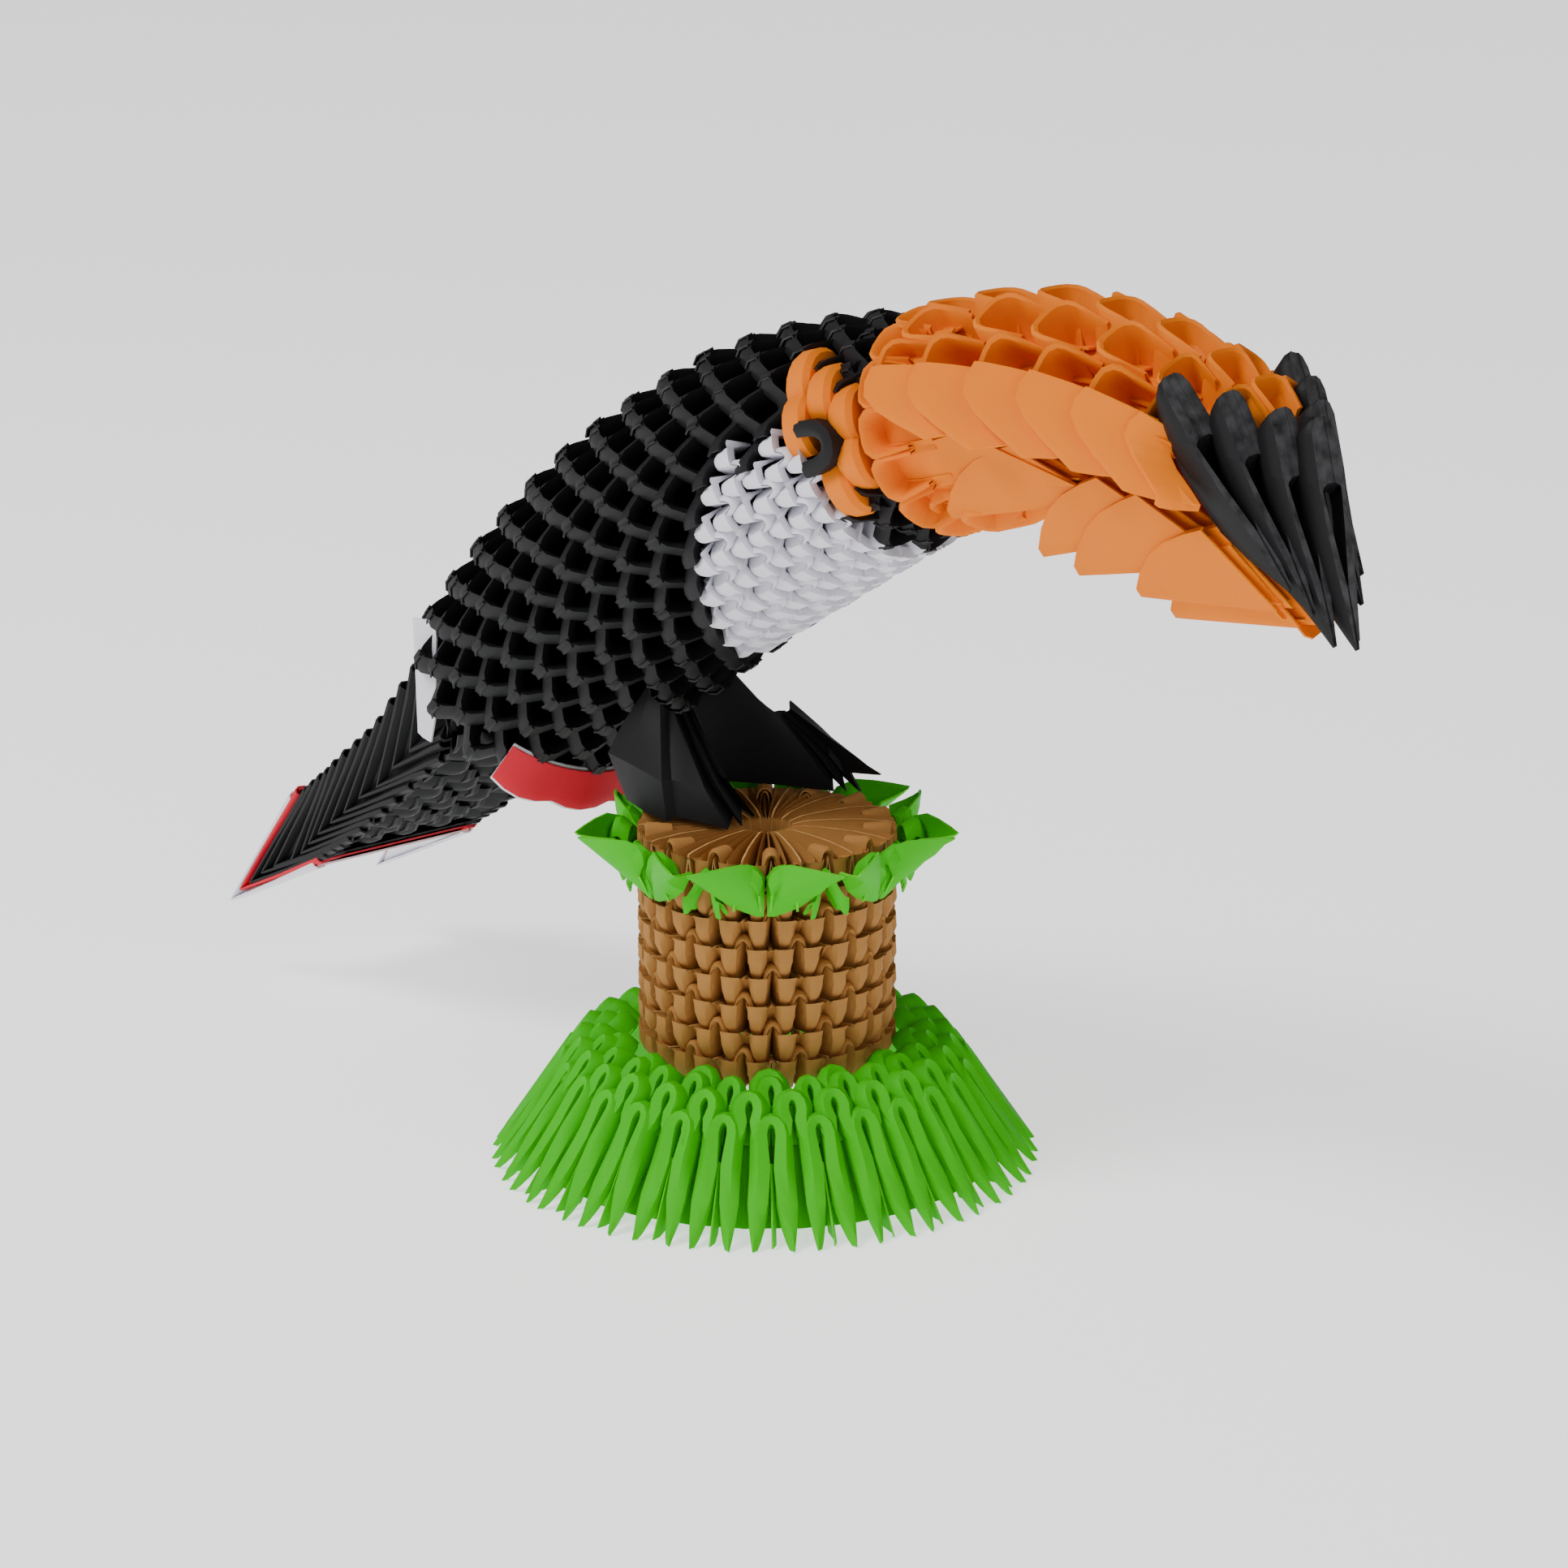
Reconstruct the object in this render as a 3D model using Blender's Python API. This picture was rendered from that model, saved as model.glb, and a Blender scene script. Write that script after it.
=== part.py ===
"""Folded-paper toucan on a paper stump: solids of the rows of units, in metres."""

import math

import bmesh
import bpy

MM = 0.001

# Gaps between neighbouring pieces, and the half gap at the end of a part ring
ROW_GAP = 0.65 * MM
END_GAP_ANGLE = math.radians(0.7)

# Units in a ring of the body and of the stump: two stations each, an arch and a corner
UNITS = 14
STATIONS = 2 * UNITS
STEP_ANGLE = 2 * math.pi / STATIONS

# How far the zigzag of a row's rim rises and falls
ARCH_RISE = 1.0 * MM
ARCH_DROP_IN = 1.5 * MM
CORNER_FLARE = 0.9 * MM
RIM_STEP = 3.0 * MM

# Body: centre line from the rear rim up to the collar
BODY_START = (-62.3 * MM, 77.0 * MM)
BODY_LENGTH = 125.5 * MM
BODY_ROWS = 24
BODY_SLOPE_REAR = math.radians(46)
BODY_SLOPE_HEAD = math.radians(18)
BODY_RADIUS = 24.0 * MM
BODY_SWELL = 0.8 * MM
HEAD_NARROWING = 5.4 * MM
HEAD_FROM = 0.66
BODY_HOLE = 9.0 * MM
REAR_HOLLOW = 4.0 * MM

# Stump
STUMP_X = 0.7 * MM
STUMP_RADIUS = 22.2 * MM
STUMP_HOLE = 4.0 * MM
STUMP_TOP = 62.0 * MM
STUMP_PITCH = 5.2 * MM
STUMP_ROWS = 8

# Grass base
GRASS_RADIUS = 50.0 * MM
GRASS_UNITS = 28
GRASS_LOOP = (36.0 * MM, 20.9 * MM)
GRASS_TOP = 25.6 * MM

# Leaf collar
LEAVES = 7
LEAF_REACH = 9.5 * MM
LEAF_TIP_HEIGHT = 61.5 * MM
LEAF_DEPTH = 11.5 * MM

# Eyes: how deep the unit of the eye sits between the orange ones, and its thickness
EYE_POCKET = 4.0 * MM
EYE_DEPTH = 3.2 * MM

# Beak
BEAK_RIM_STEP = 3.2 * MM
BEAK_HOLLOW = 0.5
BEAK_INNER_LEAD = 3.0 * MM

# Feet: height of their points, just above the stump's pleated top
FOOT_REST = 63.4 * MM

# Tail
TAIL_HALF_WIDTH = 20.0 * MM

# The tables of beak and tail points are in millimetres for a body of this radius, and grow with it
TABLE_RADIUS = 24.0

collection = bpy.data.collections.new("paper_toucan")


def clear_scene():
    for obj in list(bpy.data.objects):
        bpy.data.objects.remove(obj, do_unlink=True)
    bpy.context.scene.collection.children.link(collection)


def material(name, colour):
    found = bpy.data.materials.get(name)
    if found:
        return found
    made = bpy.data.materials.new(name)
    made.use_nodes = True
    shader = made.node_tree.nodes["Principled BSDF"]
    shader.inputs["Base Color"].default_value = (*colour, 1.0)
    shader.inputs["Roughness"].default_value = 0.85
    return made


PAPER = {
    "black": (0.012, 0.012, 0.012),
    "white": (0.80, 0.79, 0.84),
    "orange": (1.0, 0.36, 0.0),
    "red": (0.75, 0.01, 0.03),
    "green": (0.12, 0.72, 0.05),
    "brown": (0.30, 0.15, 0.05),
}


def loft(name, sections, ring, colour):
    """One closed solid through the sections, each a list of points; a ring joins last to first."""
    mesh = bpy.data.meshes.new(name)
    shape = bmesh.new()
    rows = [[shape.verts.new(point) for point in section] for section in sections]
    size = len(rows[0])
    pairs = list(zip(rows, rows[1:]))
    if ring:
        pairs.append((rows[-1], rows[0]))
    for near, far in pairs:
        for k in range(size):
            shape.faces.new((near[k], near[(k + 1) % size], far[(k + 1) % size], far[k]))
    if not ring:
        shape.faces.new(rows[0])
        shape.faces.new(rows[-1])
    bmesh.ops.recalc_face_normals(shape, faces=shape.faces[:])
    if shape.calc_volume(signed=True) < 0:
        bmesh.ops.reverse_faces(shape, faces=shape.faces[:])
    shape.to_mesh(mesh)
    shape.free()
    obj = bpy.data.objects.new(name, mesh)
    mesh.materials.append(material(name + "_" + colour, PAPER[colour]))
    collection.objects.link(obj)
    return obj


class Frame:
    """Centre and tilt of one row; points are given by radius, angle from the top and travel along the row's axis."""

    def __init__(self, x, z, slope, radius, hole):
        self.x = x
        self.z = z
        self.slope = slope
        self.radius = radius
        self.hole = hole

    def point(self, radius, angle, along, wide=1.0):
        up = radius * math.cos(angle)
        side = -radius * wide * math.sin(angle)
        x = self.x + along * math.cos(self.slope) - up * math.sin(self.slope)
        z = self.z + along * math.sin(self.slope) + up * math.cos(self.slope)
        return (x, side, z)


def rim_offsets(row, station):
    """Rise along the axis and change of radius of a rim: arches and corners alternate from row to row."""
    if (row + station) % 2 == 0:
        return ARCH_RISE, -ARCH_DROP_IN
    return -ARCH_RISE, CORNER_FLARE


def rim(frames, row, station, angle):
    rise, grow = rim_offsets(row, station)
    frame = frames[row]
    return frame.point(frame.radius + grow, angle, rise)


def back_edge(frames, row, station, angle):
    """The outer back edge of a row, just ahead of the rim of the row behind it."""
    behind = frames[row - 1]
    rise, grow = rim_offsets(row - 1, station)
    if row == 1:
        rise = -ARCH_RISE
    radius = behind.radius - RIM_STEP
    share = (radius - behind.hole) / (behind.radius + grow - behind.hole)
    return behind.point(radius, angle, rise * share + ROW_GAP)


def band(name, frames, first, last, colour, start=0, end=STATIONS, hollow=0.0, sunk=()):
    """Rows first to last as one solid, all round or from one station to another; sunk stations leave an eye's pocket."""
    ring = end - start == STATIONS
    sections = []
    for station in range(start, end if ring else end + 1):
        angle = station * STEP_ANGLE
        if not ring and station == start:
            angle += END_GAP_ANGLE
        if not ring and station == end:
            angle -= END_GAP_ANGLE
        section = []
        for row in range(last, first - 1, -1):
            if row == last and station in sunk:
                frame = frames[row]
                section.append(frame.point(frame.radius - EYE_POCKET, angle, -ARCH_RISE))
                section.append(frame.point(frame.radius - EYE_POCKET - MM, angle, -3 * ARCH_RISE))
                continue
            section.append(rim(frames, row, station, angle))
            section.append(back_edge(frames, row, station, angle))
        section.append(frames[first - 1].point(frames[first - 1].hole, angle, ROW_GAP - ARCH_RISE + hollow))
        section.append(frames[last].point(frames[last].hole, angle, -ARCH_RISE))
        sections.append(section)
    return loft(name, sections, ring, colour)


def body_frames():
    pitch = BODY_LENGTH / BODY_ROWS
    x, z = BODY_START
    slope = BODY_SLOPE_REAR
    # The ring behind the first row is only a fifth of a row away, so that the rear is hollow
    x -= 1.2 * pitch * math.cos(slope)
    z -= 1.2 * pitch * math.sin(slope)
    frames = []
    for row in range(-1, BODY_ROWS + 2):
        share = row / BODY_ROWS
        slope = BODY_SLOPE_REAR + (BODY_SLOPE_HEAD - BODY_SLOPE_REAR) * share
        if row == -1:
            x += pitch * math.cos(slope)
            z += pitch * math.sin(slope)
        if row == 0:
            x += 0.2 * pitch * math.cos(slope)
            z += 0.2 * pitch * math.sin(slope)
        if row > 0:
            x += pitch * math.cos(slope)
            z += pitch * math.sin(slope)
        radius = BODY_RADIUS + BODY_SWELL * math.sin(math.pi * max(0, min(share / 0.7, 1)))
        if share > HEAD_FROM:
            radius -= HEAD_NARROWING * ((share - HEAD_FROM) / (1 - HEAD_FROM)) ** 1.4
        frames.append(Frame(x, z, slope, radius, BODY_HOLE))
    return frames


def build_eye(name, frame, middle):
    """The black unit of an eye: as wide as one unit, over the pocket of the eye ring."""
    sections = []
    for share, lift in ((-0.9, 0.0), (-0.4, 0.8), (0.4, 0.8), (0.9, 0.0)):
        angle = (middle + share) * STEP_ANGLE
        outer = frame.radius + lift * MM
        sections.append(
            [
                frame.point(outer, angle, 0.8 * MM),
                frame.point(outer - 1.2 * MM, angle, -1.6 * MM),
                frame.point(frame.radius - EYE_DEPTH, angle, -1.6 * MM),
                frame.point(frame.radius - EYE_DEPTH, angle, 0),
            ]
        )
    loft(name, sections, False, "black")


def build_body():
    frames = body_frames()
    # Row n of the body is frames[n + 1]; frame 0 only sets the back of the first row
    white_from = {12: 13, 14: 11, 16: 9, 18: 7, 20: 7, 21: 9}
    groups = [(row, row + 1) for row in range(0, 20, 2)] + [(20, 20), (21, 23)]
    for first, last in groups:
        label = f"body_rows_{first + 1:02d}_{last + 1:02d}"
        if first not in white_from:
            hollow = REAR_HOLLOW if first == 0 else 0.0
            band(label, frames, first + 1, last + 1, "black", hollow=hollow)
            continue
        edge = white_from[first]
        top = 4 if first == 21 else edge
        band(label, frames, first + 1, last + 1, "black", -top, top)
        name = f"breast_rows_{first + 1:02d}_{last + 1:02d}"
        band(name, frames, first + 1, last + 1, "white", edge, STATIONS - edge)
        if first == 21:
            sunk = range(top + 1, edge)
            band("eye_ring_right", frames, first + 1, last + 1, "orange", top, edge, sunk=sunk)
            sunk = [STATIONS - station for station in sunk]
            band("eye_ring_left", frames, first + 1, last + 1, "orange", STATIONS - edge, STATIONS - top, sunk=sunk)
            middle = 0.5 * (top + edge)
            build_eye("eye_right", frames[last + 1], middle)
            build_eye("eye_left", frames[last + 1], STATIONS - middle)
    band("collar_row", frames, 25, 25, "black")
    band("beak_base_row", frames, 26, 26, "orange")
    return frames


def build_stump():
    frames = []
    for row in range(STUMP_ROWS + 1):
        z = STUMP_TOP - STUMP_PITCH * (STUMP_ROWS - row)
        frames.append(Frame(STUMP_X, z, math.pi / 2, STUMP_RADIUS, STUMP_HOLE))
    for row in range(1, STUMP_ROWS + 1, 2):
        band(f"stump_rows_{row}_{row + 1}", frames, row, row + 1, "brown")


def polar(radius, angle, z, x=0.0):
    return (x + radius * math.cos(angle), radius * math.sin(angle), z)


def build_grass():
    loop_r, loop_z = GRASS_LOOP
    sections = []
    for unit in range(GRASS_UNITS):
        middle = 2 * math.pi * unit / GRASS_UNITS
        width = 2 * math.pi / GRASS_UNITS
        for share, reach, drop in ((-0.2, 0, 0), (0, 3.5 * MM, 0.3 * MM), (0.2, 0, 0), (0.5, 8 * MM, 1.6 * MM)):
            angle = middle + share * width
            sections.append(
                [
                    polar(GRASS_RADIUS - reach, angle, 0),
                    polar(loop_r - 0.3 * reach, angle, loop_z - drop),
                    polar(loop_r - 5 * MM, angle, loop_z - 3.2 * MM),
                    polar(loop_r - 3.5 * MM, angle, 0),
                ]
            )
    loft("grass_row_1", sections, True, "green")
    inner = STUMP_RADIUS + CORNER_FLARE + STUMP_X + 0.5 * MM
    outer = loop_r - 1.3 * MM
    teeth = 3
    sections = []
    for station in range(2 * GRASS_UNITS):
        angle = math.pi * (station + 0.5) / GRASS_UNITS
        section = [polar(outer, angle, loop_z + 0.3 * MM)]
        for tooth in range(teeth):
            high = (station + tooth) % 2
            radius = outer - (outer - inner) * (tooth + 0.62) / teeth
            height = loop_z + (GRASS_TOP - loop_z) * ((tooth + 1) / teeth) ** 0.6
            section.append(polar(radius, angle, height - (0 if high else 1.4 * MM)))
            if tooth < teeth - 1:
                section.append(polar(radius - 1.4 * MM, angle, height - 2.0 * MM))
        section.append(polar(inner, angle, GRASS_TOP - 2.0 * MM))
        section.append(polar(inner, angle, loop_z - 2.2 * MM))
        section.append(polar(loop_r - 5.7 * MM, angle, loop_z - 2.3 * MM))
        sections.append(section)
    loft("grass_rows_2_4", sections, True, "green")


def build_leaves():
    inner = STUMP_RADIUS + CORNER_FLARE + 0.4 * MM
    bottom = LEAF_TIP_HEIGHT - LEAF_DEPTH
    sections = []
    for station in range(4 * LEAVES):
        angle = math.radians(-41) + 2 * math.pi * station / (4 * LEAVES)
        kind = station % 4
        if kind == 0:
            outer, tip, low = inner + 3.5 * MM, LEAF_TIP_HEIGHT - 0.43 * LEAF_DEPTH, bottom
        elif kind == 2:
            outer, tip, low = inner + 1.5 * MM, LEAF_TIP_HEIGHT - 0.52 * LEAF_DEPTH, bottom + 0.26 * LEAF_DEPTH
        else:
            outer, tip, low = inner + LEAF_REACH, LEAF_TIP_HEIGHT, bottom + 0.35 * LEAF_DEPTH
        sections.append(
            [
                polar(outer, angle, tip, STUMP_X),
                polar(inner + 1.5 * MM, angle, low, STUMP_X),
                polar(inner, angle, low, STUMP_X),
                polar(inner, angle, LEAF_TIP_HEIGHT - 0.22 * LEAF_DEPTH, STUMP_X),
            ]
        )
    loft("leaf_collar", sections, True, "green")


def arch_rows(label, head, rows, colour, last_length, last_taper, below):
    """Rows of the beak: arches with their rim of loops at the back, each one's front edge following the next rim."""
    scale = BODY_RADIUS / TABLE_RADIUS
    frames = []
    for x, z, slope, half_width, height, span in rows:
        frame = Frame(head.x + x * scale, head.z + z * scale, math.radians(slope), height * scale, 0)
        frame.wide = half_width / height
        frame.span = math.radians(span)
        frames.append(frame)
    for row, frame in enumerate(frames):
        ahead = frames[row + 1] if row + 1 < len(frames) else None
        lobes = 2 * round(frame.span / STEP_ANGLE)
        sections = []
        for station in range(lobes + 1):
            angle = -frame.span + 2 * frame.span * station / lobes + (math.pi if below else 0)
            high = (station + row) % 2 == 0
            rise, grow = (-ARCH_RISE, 1.0) if high else (ARCH_RISE, 0.93)
            if ahead:
                # The next row's back runs from its rim to its inner edge; this front edge stays just behind it
                lead, full = (ARCH_RISE, 0.93) if high and ahead.span == frame.span else (-ARCH_RISE, 1.0)
                radius = ahead.radius - BEAK_RIM_STEP
                share = (ahead.radius * full - radius) / (ahead.radius * (full - BEAK_HOLLOW))
                lead += (BEAK_INNER_LEAD - lead) * share
                front = ahead.point(radius, angle, lead - ROW_GAP, ahead.wide)
            else:
                front = frame.point(frame.radius * last_taper, angle, last_length * scale, frame.wide)
            sections.append(
                [
                    frame.point(frame.radius * grow, angle, rise, frame.wide),
                    front,
                    frame.point(frame.radius * BEAK_HOLLOW, angle, BEAK_INNER_LEAD, frame.wide),
                ]
            )
        loft(f"{label}_{row + 1}", sections, False, colour)


def build_beak(head):
    # From the head's last ring: x and z of the row's centre on the mouth line, tilt, half width, height
    # and half the arch's angle
    upper = (
        (1.2, 0.8, 15, 18.6, 18.8, 92),
        (9.3, 2.0, 11, 19.0, 20.2, 92),
        (17.5, 3.6, 7, 19.2, 20.6, 92),
        (26.7, 5.0, 3, 19.2, 20.4, 92),
        (35.9, 5.6, -3, 18.8, 19.4, 92),
        (45.3, 5.4, -8, 18.2, 18.4, 92),
        (54.3, 4.0, -13, 17.2, 17.4, 88),
        (63.3, 3.2, -19, 15.0, 15.4, 52),
    )
    arch_rows("beak_upper_row", head, upper, "orange", 8, 0.82, False)
    lower = (
        (3.6, -2.8, 12, 16.5, 12.4, 84),
        (13.3, -2.4, 7, 15.6, 13.4, 84),
        (22.5, -2.2, 2, 14.6, 14.8, 84),
        (31.9, -2.2, -3, 13.6, 15.6, 84),
        (41.5, -3.0, -8, 12.4, 15.6, 84),
        (52.3, -4.8, -13, 11.0, 15.0, 84),
    )
    arch_rows("beak_lower_row", head, lower, "orange", 34, 0.55, True)
    build_beak_tip(head)


def build_beak_tip(head):
    scale = BODY_RADIUS / TABLE_RADIUS
    sections = []
    lobes = 14
    for station in range(lobes + 1):
        share = 2 * station / lobes - 1
        bend = abs(share)
        high = station % 2 == 0
        out = 1.0 if high else 0.9
        y = -16.0 * math.sin(share * math.pi / 2)
        rim_x = 82.3 - 18.0 * bend
        rim_z = -2.9 + 13.5 * math.cos(share * math.pi / 2) ** 0.6 if bend < 0.99 else -2.4
        tip_x = 92.8 - 11.0 * bend - (0 if high else 2.5)
        tip_z = -15.8 + 6.5 * bend
        section = (
            (rim_x, y * out, rim_z * out - 8.4 * (1 - out)),
            (tip_x, y * 0.55, tip_z),
            (rim_x - 1, y * 0.6, -6.2 + 0.3 * rim_z),
        )
        sections.append([(head.x + x * scale, y * scale, head.z + z * scale) for x, y, z in section])
    loft("beak_tip", sections, False, "black")


def from_body(x, z):
    """A point of the tail's tables, whose zero is the start of the body's centre line."""
    scale = BODY_RADIUS / TABLE_RADIUS
    return BODY_START[0] + x * scale, BODY_START[1] + z * scale


def build_tail():
    # Side view of the tail, root to end: upper and lower edge points
    upper = ((-15.3, 5.8), (-20.9, -1.2), (-26.2, -7.0), (-35.2, -14.5), (-44.7, -23.0), (-55.2, -33.5), (-65.7, -44.5))
    lower = ((-10.1, -19.8), (-17.7, -25.0), (-24.7, -30.5), (-33.7, -36.0), (-43.2, -42.0), (-53.7, -48.0), (-65.7, -53.0))
    sections = []
    steps = 14
    for step in range(steps + 1):
        place = step / steps * (len(upper) - 1)
        k = min(int(place), len(upper) - 2)
        part = place - k
        top = [upper[k][n] * (1 - part) + upper[k + 1][n] * part for n in (0, 1)]
        low = [lower[k][n] * (1 - part) + lower[k + 1][n] * part for n in (0, 1)]
        for lift in ((0.0, 1.3) if 0 < step < steps else (0.0,)):
            width = TAIL_HALF_WIDTH - 0.6 * MM * lift
            back = lift * 0.9
            top_x, top_z = from_body(top[0] - back, top[1] - lift)
            low_x, low_z = from_body(low[0] - back, low[1] + lift * 0.6)
            sections.append(
                [
                    (top_x, -width, top_z),
                    (top_x, width, top_z),
                    (low_x, width, low_z),
                    (low_x, 0, low_z + 3 * MM),
                    (low_x, -width, low_z),
                ]
            )
    loft("tail_rows", sections, False, "black")
    for name, colour, inner, outer in (("tail_red_row", "red", 0.45, 2.8), ("tail_white_row", "white", 3.25, 14.0)):
        sections = []
        for share, notch in ((-1, 0), (-0.5, 2.5), (0, 7), (0.5, 2.5), (1, 0)):
            reach = outer if name == "tail_red_row" else outer + 2.4 - notch
            drop = 0.75 * reach
            section = (
                (-65.8 - inner, -45.0 - 0.9 * inner),
                (-65.8 - reach, -47.5 - drop),
                (-65.8 - reach + 1, -51.0 - drop),
                (-65.8 - inner, -53.0 - 0.5 * inner),
            )
            corners = [from_body(x, z) for x, z in section]
            sections.append([(x, share * TAIL_HALF_WIDTH, z) for x, z in corners])
        loft(name, sections, False, colour)


def belly_height(frames, x, y):
    """Height of the body's underside at x and y, less the row gap."""
    behind, ahead = next((a, b) for a, b in zip(frames, frames[1:]) if b.x >= x)
    share = (x - behind.x) / (ahead.x - behind.x)
    centre = behind.z + share * (ahead.z - behind.z)
    reach = math.sqrt((behind.radius + CORNER_FLARE) ** 2 - y * y)
    return centre - reach / math.cos(behind.slope) - ROW_GAP


def build_feet(frames):
    """Each foot: folded units fanned out from under the body, their points on the stump."""
    for name, flip in (("foot_right", -1), ("foot_left", 1)):
        sections = []
        fan = 8
        for step in range(fan + 1):
            share = step / fan
            groove = (step % 2) * MM
            toe_x = (-11.0 + 14.0 * math.sin(0.62 * math.pi * share)) * MM - 2 * groove
            toe_y = (14.5 - 12.5 * share) * MM
            top_y = (18.0 - 12.0 * share) * MM
            heel_x = (-22.5 + 3.0 * share) * MM
            back_x = (-19.0 + 2.0 * share) * MM
            front_x = (-8.0 + 2.0 * share) * MM
            sections.append(
                [
                    (heel_x, flip * top_y, 69.5 * MM - groove),
                    (back_x, flip * top_y, belly_height(frames, back_x, top_y) - groove),
                    (front_x, flip * top_y, belly_height(frames, front_x, top_y) - groove),
                    (toe_x, flip * toe_y, FOOT_REST + 0.4 * groove),
                    (toe_x - 7 * MM, flip * toe_y, FOOT_REST + 0.2 * MM),
                ]
            )
        loft(name, sections, False, "black")


def build_rump():
    outline = ((-15.3, 9.4), (-11.9, 9.2), (-5.3, -0.8), (-5.3, -13.2), (-10.3, -13.6))
    corners = [from_body(x, z) for x, z in outline]
    width = TAIL_HALF_WIDTH - 0.5 * MM
    sections = [[(x, y, z) for x, z in corners] for y in (-width, width)]
    loft("rump_white_row", sections, False, "white")
    rows = (
        ("undertail_red_row", "red", ((-8.2, -21.1), (15.8, -18.5), (16.8, -20.3), (-8.2, -23.1))),
        ("undertail_white_row", "white", ((-6.2, -23.4), (17.1, -20.9), (17.8, -22.4), (-6.2, -25.1))),
    )
    for name, colour, outline in rows:
        sections = []
        for share in (-1, -0.5, 0, 0.5, 1):
            lift = 2.6 * share * share
            corners = [from_body(x, z + lift) for x, z in outline]
            sections.append([(x, 0.7 * TAIL_HALF_WIDTH * share, z) for x, z in corners])
        loft(name, sections, False, colour)


def centre_on_origin():
    """Moves all so that the origin lies under the middle of the whole object's box."""
    points = [vertex.co for obj in collection.objects for vertex in obj.data.vertices]
    middle = 0.5 * (min(point.x for point in points) + max(point.x for point in points))
    for point in points:
        point.x -= middle


clear_scene()
build_grass()
build_stump()
build_leaves()
body = build_body()
build_beak(body[26])
build_tail()
build_rump()
build_feet(body)
centre_on_origin()
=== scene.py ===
import math
import random

import bpy
from mathutils import Matrix, Vector


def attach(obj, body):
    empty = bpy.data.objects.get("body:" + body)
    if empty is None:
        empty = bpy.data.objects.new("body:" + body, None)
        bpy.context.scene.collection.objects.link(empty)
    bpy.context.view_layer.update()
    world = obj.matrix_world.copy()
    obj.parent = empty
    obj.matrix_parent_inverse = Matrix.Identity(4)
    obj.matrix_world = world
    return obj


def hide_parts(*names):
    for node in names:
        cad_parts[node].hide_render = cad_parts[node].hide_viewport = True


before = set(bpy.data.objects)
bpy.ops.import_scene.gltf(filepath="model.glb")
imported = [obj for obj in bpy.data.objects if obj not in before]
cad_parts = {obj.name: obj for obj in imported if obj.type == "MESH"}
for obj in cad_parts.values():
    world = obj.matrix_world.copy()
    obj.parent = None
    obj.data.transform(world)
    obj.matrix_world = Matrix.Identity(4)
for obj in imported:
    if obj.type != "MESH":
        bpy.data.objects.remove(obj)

scene = bpy.context.scene
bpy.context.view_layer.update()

# ---------------------------------------------------------------- Camera
# A long lens in a three-quarter view from the bird's right and a little above. Its place comes from fitting
# the base circle, the stump and the body's rows.
CAMERA_PLACE = (0.5858, -0.4973, 0.29795)
CAMERA_AIM = (0.00457, 0.00265, 0.0694)
bpy.ops.object.camera_add(location=CAMERA_PLACE)
camera = bpy.context.object
camera.name = "camera"
camera.data.sensor_width = 36
camera.data.lens = 103.53
camera.data.clip_end = 20
aim = Vector(CAMERA_AIM) - camera.location
camera.rotation_euler = aim.to_track_quat("-Z", "Y").to_euler()
scene.camera = camera

# ---------------------------------------------------------------- Floor and light
# A plain pale table with a large soft light above on the left, a fill on the right and a pale room. The
# table glows a little, so that it stays pale round the object.
FLOOR_SIZE, FLOOR_THICK = 6, 0.02
LIGHT_AIM = Vector((0, 0, 0.08))
bpy.ops.object.select_all(action="DESELECT")
bpy.ops.mesh.primitive_plane_add(size=FLOOR_SIZE, location=(0, 0, 0))
floor = bpy.context.object
floor.name = "floor"
bpy.ops.object.mode_set(mode="EDIT")
bpy.ops.mesh.select_all(action="SELECT")
bpy.ops.mesh.extrude_region_move(TRANSFORM_OT_translate={"value": (0, 0, -FLOOR_THICK)})
bpy.ops.mesh.select_all(action="SELECT")
bpy.ops.mesh.normals_make_consistent(inside=False)
bpy.ops.object.mode_set(mode="OBJECT")
floor_material = bpy.data.materials.new("pale_floor")
floor_material.use_nodes = True
floor_shader = floor_material.node_tree.nodes["Principled BSDF"]
floor_shader.inputs["Base Color"].default_value = (0.86, 0.86, 0.87, 1)
floor_shader.inputs["Roughness"].default_value = 0.7
floor_shader.inputs["Emission Color"].default_value = (1, 1, 1, 1)
floor_shader.inputs["Emission Strength"].default_value = 1.05
floor.data.materials.append(floor_material)

world = bpy.data.worlds.new("studio")
scene.world = world
world.use_nodes = True
world.node_tree.nodes["Background"].inputs["Color"].default_value = (1.0, 1.0, 1.0, 1)
world.node_tree.nodes["Background"].inputs["Strength"].default_value = 0.30

for light_name, place, size, watts in (
    ("key_light", (-0.25, -0.85, 1.15), 0.5, 15.0),
    ("fill_light", (1.2, -0.3, 0.7), 0.8, 4.0),
):
    bpy.ops.object.light_add(type="AREA", location=place)
    light = bpy.context.object
    light.name = light_name
    light.data.size = size
    light.data.energy = watts
    light.rotation_euler = (LIGHT_AIM - Vector(place)).to_track_quat("-Z", "Y").to_euler()

# ---------------------------------------------------------------- Grass base
# The flared base is four rings of folded green paper units pushed into each other: tall hairpin units
# stand on the table, and three rings of loops close in around the stump above them.
MM = 0.001
CENTRE_X = 2.286
STATIONS = 28
STATION = math.radians(360 / STATIONS)


def socket(group, name, way, kind, value=None):
    made = group.interface.new_socket(name=name, in_out=way, socket_type=kind)
    if value is not None:
        made.default_value = value


def math_node(nodes, operation, value=None):
    made = nodes.new("ShaderNodeMath")
    made.operation = operation
    if value is not None:
        made.inputs[1].default_value = value
    return made


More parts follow.
